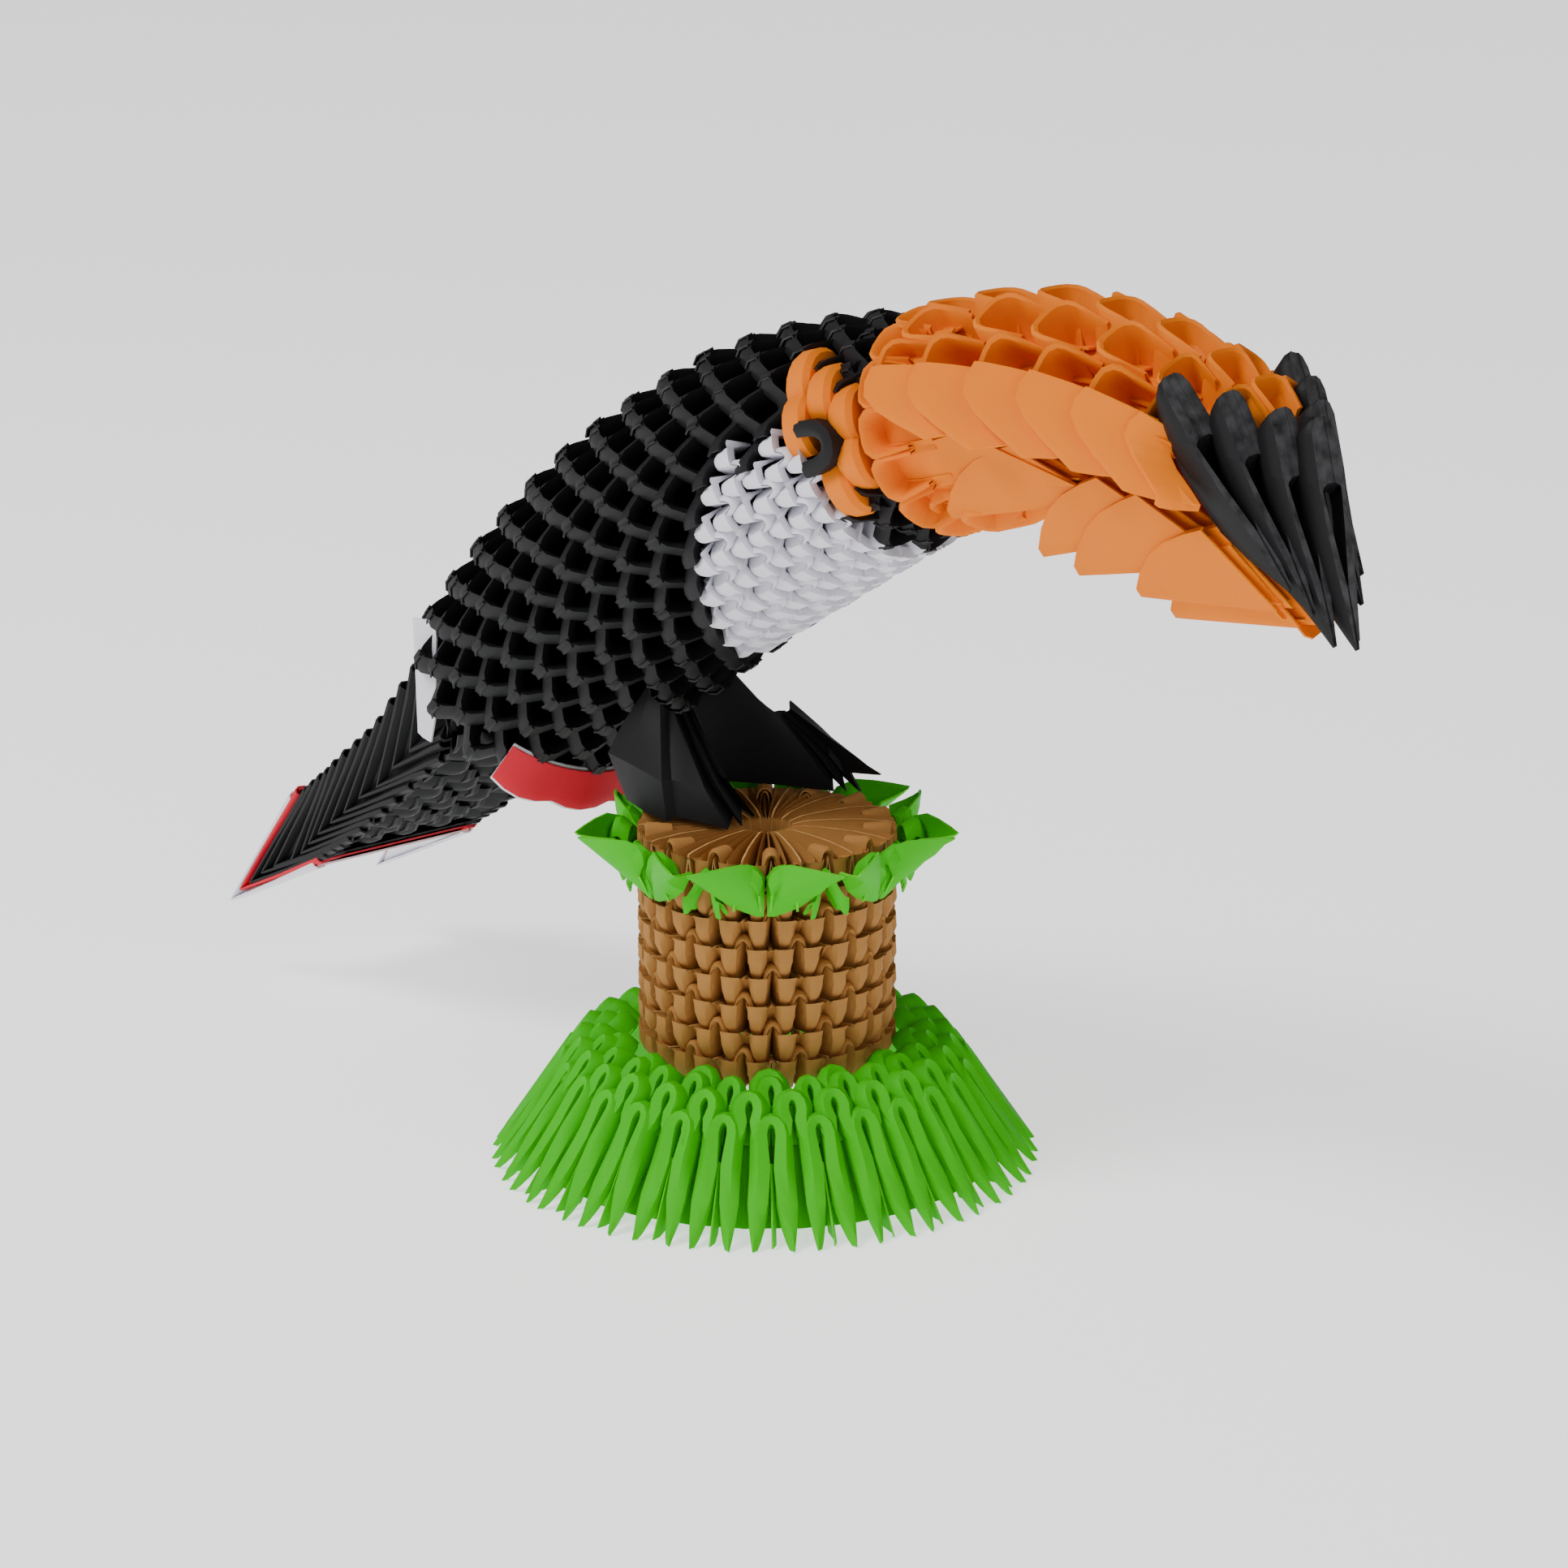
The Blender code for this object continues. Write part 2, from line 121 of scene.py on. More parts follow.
def paper_fibres():
    """Fine grain of pulp: a grey for the tone and a height for the bump."""
    group = bpy.data.node_groups.new("paper_fibres", "ShaderNodeTree")
    socket(group, "Scale", "INPUT", "NodeSocketFloat", 900.0)
    socket(group, "Tone", "OUTPUT", "NodeSocketFloat")
    socket(group, "Height", "OUTPUT", "NodeSocketFloat")
    nodes, links = group.nodes, group.links
    inlet, outlet = nodes.new("NodeGroupInput"), nodes.new("NodeGroupOutput")
    place = nodes.new("ShaderNodeTexCoord")
    fine = nodes.new("ShaderNodeTexNoise")
    fine.inputs["Detail"].default_value = 6
    stretch = nodes.new("ShaderNodeMapping")
    stretch.inputs["Scale"].default_value = (1.0, 0.25, 2.2)
    long = nodes.new("ShaderNodeTexNoise")
    long.inputs["Detail"].default_value = 3
    both = math_node(nodes, "MULTIPLY_ADD", 0.6)
    links.new(place.outputs["Object"], fine.inputs["Vector"])
    links.new(place.outputs["Object"], stretch.inputs["Vector"])
    links.new(stretch.outputs["Vector"], long.inputs["Vector"])
    links.new(inlet.outputs["Scale"], fine.inputs["Scale"])
    links.new(inlet.outputs["Scale"], long.inputs["Scale"])
    links.new(long.outputs["Fac"], both.inputs[0])
    links.new(fine.outputs["Fac"], both.inputs[2])
    links.new(fine.outputs["Fac"], outlet.inputs["Tone"])
    links.new(both.outputs["Value"], outlet.inputs["Height"])
    return group


def tone_drift():
    """Small differences between one folded sheet and the next, and slow ones across the piece."""
    group = bpy.data.node_groups.new("tone_drift", "ShaderNodeTree")
    socket(group, "Colour", "INPUT", "NodeSocketColor")
    socket(group, "Other colour", "INPUT", "NodeSocketColor")
    socket(group, "Amount", "INPUT", "NodeSocketFloat", 0.3)
    socket(group, "Fibre tone", "INPUT", "NodeSocketFloat", 0.5)
    socket(group, "Colour", "OUTPUT", "NodeSocketColor")
    nodes, links = group.nodes, group.links
    inlet, outlet = nodes.new("NodeGroupInput"), nodes.new("NodeGroupOutput")
    place = nodes.new("ShaderNodeTexCoord")
    cells = nodes.new("ShaderNodeTexVoronoi")
    cells.inputs["Scale"].default_value = 110
    split = nodes.new("ShaderNodeSeparateColor")
    slow = nodes.new("ShaderNodeTexNoise")
    slow.inputs["Scale"].default_value = 45
    add, more = math_node(nodes, "ADD"), math_node(nodes, "ADD")
    times, scaled = math_node(nodes, "MULTIPLY"), math_node(nodes, "MULTIPLY", 0.4)
    times.use_clamp = True
    mix = nodes.new("ShaderNodeMix")
    mix.data_type = "RGBA"
    links.new(place.outputs["Object"], cells.inputs["Vector"])
    links.new(place.outputs["Object"], slow.inputs["Vector"])
    links.new(cells.outputs["Color"], split.inputs["Color"])
    links.new(split.outputs["Red"], scaled.inputs[0])
    links.new(scaled.outputs["Value"], add.inputs[0])
    links.new(slow.outputs["Fac"], add.inputs[1])
    links.new(add.outputs["Value"], more.inputs[0])
    links.new(inlet.outputs["Fibre tone"], more.inputs[1])
    links.new(more.outputs["Value"], times.inputs[0])
    links.new(inlet.outputs["Amount"], times.inputs[1])
    links.new(times.outputs["Value"], mix.inputs[0])
    links.new(inlet.outputs["Colour"], mix.inputs[6])
    links.new(inlet.outputs["Other colour"], mix.inputs[7])
    links.new(mix.outputs[2], outlet.inputs["Colour"])
    return group


def edge_wear():
    """Where a fold or a cut edge has rubbed: a broken mask from fine noise."""
    group = bpy.data.node_groups.new("edge_wear", "ShaderNodeTree")
    socket(group, "Share", "INPUT", "NodeSocketFloat", 0.5)
    socket(group, "Mask", "OUTPUT", "NodeSocketFloat")
    nodes, links = group.nodes, group.links
    inlet, outlet = nodes.new("NodeGroupInput"), nodes.new("NodeGroupOutput")
    place = nodes.new("ShaderNodeTexCoord")
    patch = nodes.new("ShaderNodeTexNoise")
    patch.inputs["Scale"].default_value = 420
    patch.inputs["Detail"].default_value = 4
    add = math_node(nodes, "ADD")
    level = nodes.new("ShaderNodeMapRange")
    level.inputs["From Min"].default_value = 0.75
    level.inputs["From Max"].default_value = 1.15
    links.new(place.outputs["Object"], patch.inputs["Vector"])
    links.new(patch.outputs["Fac"], add.inputs[0])
    links.new(inlet.outputs["Share"], add.inputs[1])
    links.new(add.outputs["Value"], level.inputs["Value"])
    links.new(level.outputs["Result"], outlet.inputs["Mask"])
    return group


fibre_group = paper_fibres()
drift_group = tone_drift()
wear_group = edge_wear()


def paper(name, colour, other, worn, rough):
    """Coloured paper: its sheet and, as a second material, its cut and rubbed edge."""
    made = []
    for label in ("", "_edge"):
        material = bpy.data.materials.new(name + label)
        material.use_nodes = True
        nodes, links = material.node_tree.nodes, material.node_tree.links
        shader = nodes["Principled BSDF"]
        fibres = nodes.new("ShaderNodeGroup")
        fibres.node_tree = fibre_group
        drift = nodes.new("ShaderNodeGroup")
        drift.node_tree = drift_group
        drift.inputs["Colour"].default_value = (*colour, 1)
        drift.inputs["Other colour"].default_value = (*other, 1)
        links.new(fibres.outputs["Tone"], drift.inputs["Fibre tone"])
        last = drift.outputs["Colour"]
        if label:
            wear = nodes.new("ShaderNodeGroup")
            wear.node_tree = wear_group
            mix = nodes.new("ShaderNodeMix")
            mix.data_type = "RGBA"
            links.new(wear.outputs["Mask"], mix.inputs[0])
            links.new(last, mix.inputs[6])
            mix.inputs[7].default_value = (*worn, 1)
            last = mix.outputs[2]
        links.new(last, shader.inputs["Base Color"])
        shader.inputs["Roughness"].default_value = rough
        shader.inputs["Specular IOR Level"].default_value = 0.18
        bump = nodes.new("ShaderNodeBump")
        bump.inputs["Strength"].default_value = 0.12
        bump.inputs["Distance"].default_value = 0.0002
        links.new(fibres.outputs["Height"], bump.inputs["Height"])
        links.new(bump.outputs["Normal"], shader.inputs["Normal"])
        made.append(material)
    return made


green = paper("green_paper", (0.045, 0.52, 0.0), (0.025, 0.42, 0.0), (0.10, 0.66, 0.008), 0.62)


def sheet(name, rows, colour, thick=0.35, crease=35):
    """A sheet of paper folded through rows of points in mm, as a closed solid as thick as the paper."""
    bpy.ops.object.select_all(action="DESELECT")
    bpy.ops.mesh.primitive_grid_add(x_subdivisions=len(rows[0]) - 1, y_subdivisions=len(rows) - 1, size=1)
    made = bpy.context.object
    made.name = name
    points = [point for row in rows for point in row]
    for vertex, point in zip(made.data.vertices, points):
        vertex.co = [MM * value for value in point]
    made.data.materials.append(colour[0])
    made.data.materials.append(colour[1])
    solid = made.modifiers.new("paper", "SOLIDIFY")
    solid.thickness = thick * MM
    solid.offset = 0
    solid.material_offset_rim = 1
    bpy.ops.object.modifier_apply(modifier=solid.name)
    bpy.ops.object.shade_smooth_by_angle(angle=math.radians(crease))
    return made


def lay(name, nodes, placed):
    """Copies of the units at their places, each with its own mesh, joined into one piece of the object."""
    bpy.ops.object.select_all(action="DESELECT")
    copies = []
    for unit, matrix in placed:
        copy = unit.copy()
        copy.data = unit.data.copy()
        copy.matrix_world = matrix
        scene.collection.objects.link(copy)
        copy.select_set(True)
        copies.append(copy)
    bpy.context.view_layer.objects.active = copies[0]
    if len(copies) > 1:
        bpy.ops.object.join()
    bpy.ops.object.transform_apply(location=True, rotation=True, scale=True)
    piece = bpy.context.object
    piece.name = name + "_paper"
    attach(piece, "root")
    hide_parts(*nodes)
    return piece


def put_away(*units):
    for unit in units:
        bpy.data.objects.remove(unit, do_unlink=True)


def seat(across, along, out, at, size=(1, 1, 1)):
    """Matrix that puts a unit's x, y and z along three directions at a place in mm."""
    turned = Matrix((across, along, out)).transposed().to_4x4()
    return Matrix.Translation(Vector(at) * MM) @ turned @ Matrix.Diagonal((*size, 1))


def on_axis(radius, angle, height, x, size=(1, 1, 1), lean=0.0):
    """Place of a unit on a ring around an upright axis, leaning in towards it."""
    out = Vector((math.cos(angle), math.sin(angle), 0))
    along = Vector((0, 0, 1)) * math.cos(lean) - out * math.sin(lean)
    across = along.cross(out)
    out = across.cross(along)
    at = (x + radius * math.cos(angle), radius * math.sin(angle), height)
    return seat(across, along, out, at, size)


rng = random.Random(11)


def near(value, share=0.03):
    return value * (1 + rng.uniform(-share, share))


def folded_unit(width, height, tip, depth, rim=1.9, slit=0.26):
    """A folded unit, long side out: y runs up from the two points to the rounded loop, z outwards."""
    shoulder = height - 0.48 * width
    side = []
    for h, wide, gap in (
        (0, -0.04, 0.98),
        (0.1, 0.02, 0.80),
        (0.22, 0.10, 0.56),
        (0.42, 0.16, 0.28),
        (0.72, 0.05, 0.13),
        (1.0, 0, slit),
    ):
        outer = (tip + (width / 2 - tip) * h) * (1 + wide)
        side.append((outer, (tip + (width / 2 - tip) * h) * gap, h * shoulder, h * shoulder, 0.12 + 0.88 * h))
    turns = []
    for k in range(1, 6):
        turn = math.pi * k / 6
        reach = (side[-1][0] * math.cos(turn), shoulder + 0.46 * width * math.sin(turn))
        hole = (side[-1][1] * math.cos(turn), shoulder + (0.48 * width - rim) * math.sin(turn))
        turns.append((reach, hole, 1.0))
    stations = [((x, y), (i, j), d) for x, i, y, j, d in side] + turns
    stations += [((-x, y), (-i, j), d) for x, i, y, j, d in reversed(side)]
    rows = []
    for outer, inner, deep in stations:
        ridge = (outer[0] * 0.6 + inner[0] * 0.4, outer[1] * 0.6 + inner[1] * 0.4)
        rows.append([
            (outer[0] * 0.9, outer[1], -depth * deep),
            (outer[0], outer[1], -1.5 * deep),
            (ridge[0], ridge[1], 0.2),
            (inner[0], inner[1], -0.5 * deep),
            (inner[0] * 0.8, inner[1] - 0.4 * deep, -0.7 * depth * deep),
        ])
    return rows


# The tall units lean in from the rim on the table to the neck under the hoods
RIM_RADIUS, NECK_RADIUS, NECK_HEIGHT = 50.0, 36.0, 20.9
TALL_RADIUS = 49.25
TABLE_SLOPE = 0.672
GRASS_UNITS = 28
slope = math.atan2(RIM_RADIUS - NECK_RADIUS, NECK_HEIGHT)


def above_table(x, y, z):
    """A point of a leaning unit, kept above the table."""
    return (x, max(y, (0.5 - z) * TABLE_SLOPE), z)


tall_rows = [[above_table(*point) for point in row] for row in folded_unit(8.2, 25.0, 4.3, 6.0)]
tall_unit = sheet("tall_unit", tall_rows, green, 0.45, 50)
flap_line = ((-0.2, -1.0), (0.5, -2.4), (0.2, -6.0))
inner_flap = sheet("inner_flap", [[above_table(x, y, z) for x, z in flap_line] for y in (1.0, 6, 12, 16)], green, 0.4)
layer_rows = [[(x * (1.33 - y / 75), y, -6.4 + 0.06 * y) for x in (-5.0, 0, 5.0)] for y in (5.5, 12, 18, 25)]
inner_layers = sheet("inner_layers", layer_rows, green, 0.4)
placed = []
for unit in range(GRASS_UNITS):
    angle = 2 * math.pi * unit / GRASS_UNITS + rng.uniform(-0.006, 0.006)
    where = on_axis(near(TALL_RADIUS, 0.003), angle, 0.0, CENTRE_X, (near(1), near(1, 0.012), 1), slope)
    placed += [(tall_unit, where), (inner_flap, where), (inner_layers, where)]
lay("grass_row_1", ["grass_row_1"], placed)
put_away(tall_unit, inner_flap, inner_layers)

# Each hood row's radius and height at its loops, its lean in degrees and its number of units
hood_rows = ((32.6, 24.0, 35, 28), (28.8, 25.3, 40, 28), (25.6, 25.6, 46, 14))
HOOD_LENGTH = 11
short_unit = sheet("short_unit", folded_unit(7.9, 11.0, 3.0, 7.0), green, 0.45, 50)
hood_back = sheet("hood_back", [[(x, y, -3.4) for x in (-4.6, 0, 4.6)] for y in (1.5, 5, 8.5)], green, 0.4)
wide_unit = sheet("wide_unit", folded_unit(10.6, 11.0, 4.0, 5.0, 2.2), green, 0.45, 50)
placed = []
for row, (radius, height, lean, count) in enumerate(hood_rows):
    lean = math.radians(lean)
    wide = count < GRASS_UNITS
    for unit in range(count):
        angle = 2 * math.pi * (unit + 0.5 * ((row + 1) % 2)) / count
        base, low = radius + HOOD_LENGTH * math.sin(lean), height - HOOD_LENGTH * math.cos(lean)
        turned = angle + rng.uniform(-0.008, 0.008)
        size = (1 if wide else radius / hood_rows[0][0], near(1, 0.02), 1)
        where = on_axis(base, turned, low, CENTRE_X, size, lean)
        placed += [(wide_unit if wide else short_unit, where), (hood_back, where)]
lay("grass_rows_2_4", ["grass_rows_2_4"], placed)
put_away(short_unit, wide_unit, hood_back)

# ---------------------------------------------------------------- Stump
# Eight rings of fourteen brown paper units with their two folded wings outwards, stacked point in pocket;
# the top ring's folds run in to a small hole, as a pleated disc.
brown = paper("brown_paper", (0.42, 0.20, 0.052), (0.32, 0.14, 0.03), (0.62, 0.36, 0.13), 0.68)
STUMP_RADIUS, STUMP_TOP, STUMP_PITCH, STUMP_ROWS = 22.2, 62.0, 5.2, 8
STUMP_X = CENTRE_X + 0.7
UNITS = 14
# Stations across one wing of a unit, from its middle to its side
wing_stations = (0.1, 0.2, 0.34, 0.5, 0.66, 0.82, 0.94, 1.0)


def wing_rows(radius, half, long, arch_rise=1.2):
    """Two bulging wings side by side under a small arch, wrapped round a ring of the given radius."""
    rows = []
    for u in (*(-station for station in reversed(wing_stations)), 0, *wing_stations):
        a = abs(u)
        bulge = max(0.0, math.sin(math.pi * a)) ** 0.55
        middle = max(0.0, 1 - a / 0.2)
        corner = max(0.0, (a - 0.8) / 0.2)
        top = -0.35 * bulge + arch_rise * middle * (1 if a < 0.15 else 0.5) - 0.1 * corner
        lip = 0.35 + 0.45 * bulge - 1.5 * middle + 0.5 * corner
        deep = 6.0 * middle + 4.5 * corner
        row = []
        for v, z in (
            (-long, -3.2 + 1.6 * bulge - 0.5 * deep),
            (-0.7 * long, -1.7 + 1.8 * bulge - deep),
            (-0.4 * long, -0.9 + 1.8 * bulge - deep),
            (-0.16 * long, -0.5 + 1.3 * bulge - (deep if middle == 0 else 0.5 * deep)),
            (top, lip),
            (top - 0.7, lip - 1.8),
            (top - 6.0, lip - 5.5),
        ):
            outside = z < lip and v > -long * 1.01 and v != top - 0.7
            narrow = 0.42 * min(1, max(0, -v / long)) if 0.15 < a < 0.9 and outside else 0
            turn = (math.copysign(0.5 + (a - 0.5) * (1 - narrow), u) if narrow else u) * half
            row.append(((radius + z) * math.sin(turn), v, (radius + z) * math.cos(turn) - radius))
        rows.append(row)
    return rows


stump_unit = sheet("stump_unit", wing_rows(STUMP_RADIUS, STATION, 6.4), brown, 0.35)


def arch_rows(half, high, band, reach):
    """The small arch of a unit between its two wings: a band bent over a dark gap."""
    rows = []
    for k in range(9):
        turn = math.pi * k / 8
        x, y = -half * math.cos(turn), high * math.sin(turn)
        inner_x, inner_y = -(half - band) * math.cos(turn), (high - band) * math.sin(turn)
        drop = 2.6 * (1 - math.sin(turn)) ** 2
        rows.append([
            (x, y - 0.6 - drop, -reach),
            (x, y - drop, -0.2),
            (0.5 * (x + inner_x), 0.5 * (y + inner_y) - drop, 0.35),
            (inner_x, inner_y - drop, -0.1),
            (inner_x * 0.9, inner_y - 0.5 - drop, -reach),
        ])
    return rows


stump_arch = sheet("stump_arch", arch_rows(1.7, 2.3, 0.75, 4.5), brown, 0.3, 50)
ARCH_SHIFT = Matrix.Translation((0, -0.0004, -0.0002))
# The top ring's units, whose folds run in along the disc: radius and rise along one fold
disc_line = ((22.9, 0.2), (21.5, 0.5), (17.0, 0.9), (11.5, 0.9), (7.2, 0.7), (4.6, 0.1), (4.3, -4.0))
top_rows = []
for part in range(17):
    u = -1 + part / 8
    ridge = abs(math.cos(2 * math.pi * u)) ** 5
    row = []
    for radius, rise in disc_line:
        low = -5.5 * (1 - ridge) * min(1, (radius - 3.8) / 7)
        turn = u * STATION
        row.append((radius * math.sin(turn), rise + low, radius * math.cos(turn) - STUMP_RADIUS))
    top_rows.append(row)
disc_unit = sheet("disc_unit", top_rows, brown, 0.35)
for low, high in ((1, 2), (3, 4), (5, 6), (7, 8)):
    placed = []
    for ring in (low, high):
        height = STUMP_TOP - STUMP_PITCH * (STUMP_ROWS - ring)
        for unit in range(UNITS):
            angle = STATION * (2 * unit + (ring % 2 == 0))
            turned = angle + math.radians(rng.uniform(-0.8, 0.8))
            where = on_axis(STUMP_RADIUS, turned, near(height, 0.003), STUMP_X, (1, near(1), 1))
            placed += [(stump_unit, where), (stump_arch, where @ ARCH_SHIFT)]
            if ring == STUMP_ROWS:
                placed.append((disc_unit, on_axis(STUMP_RADIUS, angle, height, STUMP_X)))
    lay(f"stump_rows_{low}_{high}", [f"stump_rows_{low}_{high}"], placed)
put_away(stump_unit, stump_arch, disc_unit)

# ---------------------------------------------------------------- Leaf collar
# Seven opened-out green units with two pointed flaps each, and seven plain ones between them, hooked
# round the stump under its top ring.
LEAVES = 7
FIRST_LEAF = math.radians(-41)
# Lines across one flap: its place round the stump, how far its edge stands out, and its two ends in height
leaf_lines = (
    (0.3, 0.0, -4.0, -10.6),
    (1.4, 2.2, -1.5, -10.6),
    (3.4, 4.6, -0.3, -9.8),
    (5.6, 6.0, -0.5, -8.8),
    (8.0, 7.2, -0.9, -6.8),
    (10.2, 8.0, -1.3, -3.0),
)


def loop_rows(width, drop, rise, back, depth, lip=1.2):
    """A unit seen from outside: an arch-shaped fold, open below, with its walls running back and in."""
    rows = []
    for part in range(11):
        u = -1.1 + 2.2 * part / 10
        c = math.cos(math.pi * max(-1, min(1, u)))
        v = rise * c
        z = -0.2 - 1.1 * c
        x = u * width * 0.5
        rows.append([
            (x, v - drop, z - back),
            (x, v - 0.5 * drop, z + 0.15),
            (x, v, z),
            (x, v - 0.25 * drop, z - lip),
            (x, v - drop, z - depth),
        ])
    return rows


leaf_rows = []
for across, tip_out, tip_up, low_up in leaf_lines:
    turn = across / 24.5
    row = []
    for share in (0, 0.25, 0.5, 0.75, 1.0):
        up = tip_up + (low_up - tip_up) * share
        out = tip_out * (1 - share) ** 0.8 + 1.4 * share + 1.3 * math.sin(math.pi * share)
        row.append(((24 + out) * math.sin(turn) * 1.05, up, out))
    leaf_rows.append(row)
leaf_right = sheet("leaf_right", leaf_rows, green, 0.4)
leaf_left = sheet("leaf_left", [[(-x, y, z) for x, y, z in reversed(row)] for row in leaf_rows], green, 0.4)
LOBE_X = 3.2
lobe = []
for part in range(9):
    turn = math.pi * part / 8
    x, y = LOBE_X - 2.6 * math.cos(turn), -4.0 + 2.8 * math.sin(turn)
    lobe.append([
        (x, y - 1.5, 0.5),
        (x, y, 2.3),
        (x, y - 0.2, 3.2),
        (LOBE_X + (x - LOBE_X) * 0.8, y - 2.2, 4.0),
        (LOBE_X + (x - LOBE_X) * 0.9, y - 5.5, 2.4),
    ])
lobe_right = sheet("lobe_right", lobe, green, 0.4)
lobe_left = sheet("lobe_left", [[(-x, y, z) for x, y, z in row] for row in reversed(lobe)], green, 0.4)
plain = sheet("leaf_plain", loop_rows(6.4, 3.0, 2.6, 0.4, 3.4), green, 0.45)
placed = []
for leaf in range(LEAVES):
    angle = FIRST_LEAF + 2 * math.pi * leaf / LEAVES
    where = on_axis(23.6, angle, 63.8, STUMP_X)
    for part in (leaf_right, leaf_left, lobe_right, lobe_left):
        placed.append((part, where))
    placed.append((plain, on_axis(24.9, angle + math.pi / LEAVES, 58.0, STUMP_X)))
lay("leaf_collar", ["leaf_collar"], placed)
put_away(leaf_right, leaf_left, lobe_right, lobe_left, plain)

# ---------------------------------------------------------------- Body
# Twenty-four rings of fourteen units pushed into each other along a bent line from the rump up to the
# head: black ones, with white ones at the breast and throat and orange ones round the eyes.
black = paper("black_paper", (0.009, 0.009, 0.010), (0.012, 0.012, 0.013), (0.06, 0.06, 0.063), 0.55)
white = paper("white_paper", (0.80, 0.79, 0.85), (0.74, 0.73, 0.80), (0.88, 0.87, 0.90), 0.6)
orange = paper("orange_paper", (0.84, 0.21, 0.0), (0.78, 0.16, 0.0), (0.92, 0.30, 0.0), 0.65)


class Ring:
    """Centre of a ring of units on the bird's middle plane in mm, with its tilt and radius."""

    def __init__(self, x, z, slope, radius):
        self.x, self.z, self.slope, self.radius = x, z, slope, radius

    def point(self, turn, along, radius, wide=1.0):
        """A point in mm, turn degrees round from the top towards the bird's right."""
        up = radius * math.cos(math.radians(turn))
        side = -radius * wide * math.sin(math.radians(turn))
        c, s = math.cos(self.slope), math.sin(self.slope)
        return (self.x + along * c - up * s, side, self.z + along * s + up * c)

    def seat(self, turn, along=0.0, size=(1, 1, 1), radius=None, wide=1.0):
        """Place on the ring, turn degrees round from the top towards the bird's right."""
        radius = self.radius if radius is None else radius
        turn = math.radians(turn)
        forward = Vector((math.cos(self.slope), 0, math.sin(self.slope)))
        up = Vector((-math.sin(self.slope), 0, math.cos(self.slope)))
        side = Vector((0, -1, 0))
        at = Vector((self.x, 0, self.z)) + forward * along
        at = at + up * (radius * math.cos(turn)) + side * (radius * wide * math.sin(turn))
        out = (up * math.cos(turn) * wide + side * math.sin(turn)).normalized()
        return seat(forward.cross(out), forward, out, at, size)


BODY_ROWS, BODY_LENGTH = 24, 125.5
UNIT_RADIUS = 24
RUMP_TILT, TILT_CHANGE = 46, 28
rings = []
ring_x, ring_z = -62.3 + CENTRE_X, 77.0
pitch = BODY_LENGTH / BODY_ROWS
for row in range(BODY_ROWS + 2):
    share = row / BODY_ROWS
    tilt = math.radians(RUMP_TILT - TILT_CHANGE * share)
    if row:
        ring_x += pitch * math.cos(tilt)
        ring_z += pitch * math.sin(tilt)
    radius = 24.0 + 0.8 * math.sin(math.pi * min(share / 0.7, 1))
    if share > 0.66:
        radius -= 5.4 * ((share - 0.66) / 0.34) ** 1.4
    rings.append(Ring(ring_x, ring_z, tilt, radius))


def between(value, pairs):
    """Straight-line reading of a table."""
    for (a, b), (c, d) in zip(pairs, pairs[1:]):
        if a <= value <= c:
            return b + (d - b) * (value - a) / (c - a)
    return pairs[0][1] if value < pairs[0][0] else pairs[-1][1]


def ribbon_rows(radius, half, swing, back, deep):
    """An arch-shaped fold with square, flared corners, wrapped round a ring."""
    rows = []
    for u in (-1.14, -0.95, -0.72, -0.48, -0.24, 0, 0.24, 0.48, 0.72, 0.95, 1.14):
        c = math.cos(math.pi * max(-1, min(1, u)))
        v = swing * c
        z = -0.2 - 1.15 * c + (0.35 if abs(u) > 1 else 0)
        row = []
        for dv, dz in ((-back, -1.1), (-0.55 * back, -0.05), (0, 0), (-1.0, -2.6), (-6.0, -deep)):
            turn = u * half
            row.append(((radius + z + dz) * math.sin(turn), v + dv, (radius + z + dz) * math.cos(turn) - radius))
        rows.append(row)
    return rows


body_unit = sheet("body_unit", ribbon_rows(UNIT_RADIUS, STATION, 2.0, 4.4, 7.5), black, 0.35)
# The points of a unit deep in its pocket, which close the body behind the loops
POINT_RADIUS = 16.4
point_rows = []
for v in (-8, 1):
    turns = [a * STATION for a in (-1.15, 0, 1.15)]
    point_rows.append([(POINT_RADIUS * math.sin(a), v, POINT_RADIUS * math.cos(a) - UNIT_RADIUS) for a in turns])
inner_point = sheet("inner_point", point_rows, black, 0.35)
breast_unit = sheet("breast_unit", wing_rows(UNIT_RADIUS, STATION, 7.0, 1.4), white, 0.35)
breast_arch = sheet("breast_arch", arch_rows(1.9, 2.5, 0.8, 4.5), white, 0.3, 50)


def strap_rows(length, width, sweep, high=1.4):
    """The folded front of a unit as a strap across the ring, domed, its two ends tucked in and swept back."""
    rows = []
    for u in (-1, -0.85, -0.6, -0.3, 0, 0.3, 0.6, 0.85, 1):
        front = -sweep * u * u
        z = high * math.cos(0.5 * math.pi * u) - 2.6 * abs(u) ** 3
        x = 0.5 * length * u
        rows.append([
            (x * 1.04, front - width, z - 3.6),
            (x * 1.03, front - width, z - 0.3),
            (x, front - 0.6 * width, z + 0.35),
            (x, front - 0.1 * width, z + 0.1),
            (x * 0.97, front, z - 0.9),
            (x * 0.9, front - 0.2 * width, z - 5.0),
        ])
    return rows


eye_unit = sheet("eye_unit", strap_rows(10.8, 5.0, 1.4, 1.2), orange, 0.4, 30)
pupil_unit = sheet("pupil_unit", arch_rows(4.6, 5.6, 2.4, 5.0), black, 0.4, 50)

# The first and last row with white units, for each turn in degrees from the top of the ring
white_from = ((82, 18.2), (92, 17.8), (108, 16.8), (120, 15.5), (146, 13.8), (180, 11.5))
white_to = ((82, 20.8), (88, 21.8), (110, 22.2), (138, 22.8), (180, 22.6))
FIRST_WHITE_TURN = 82
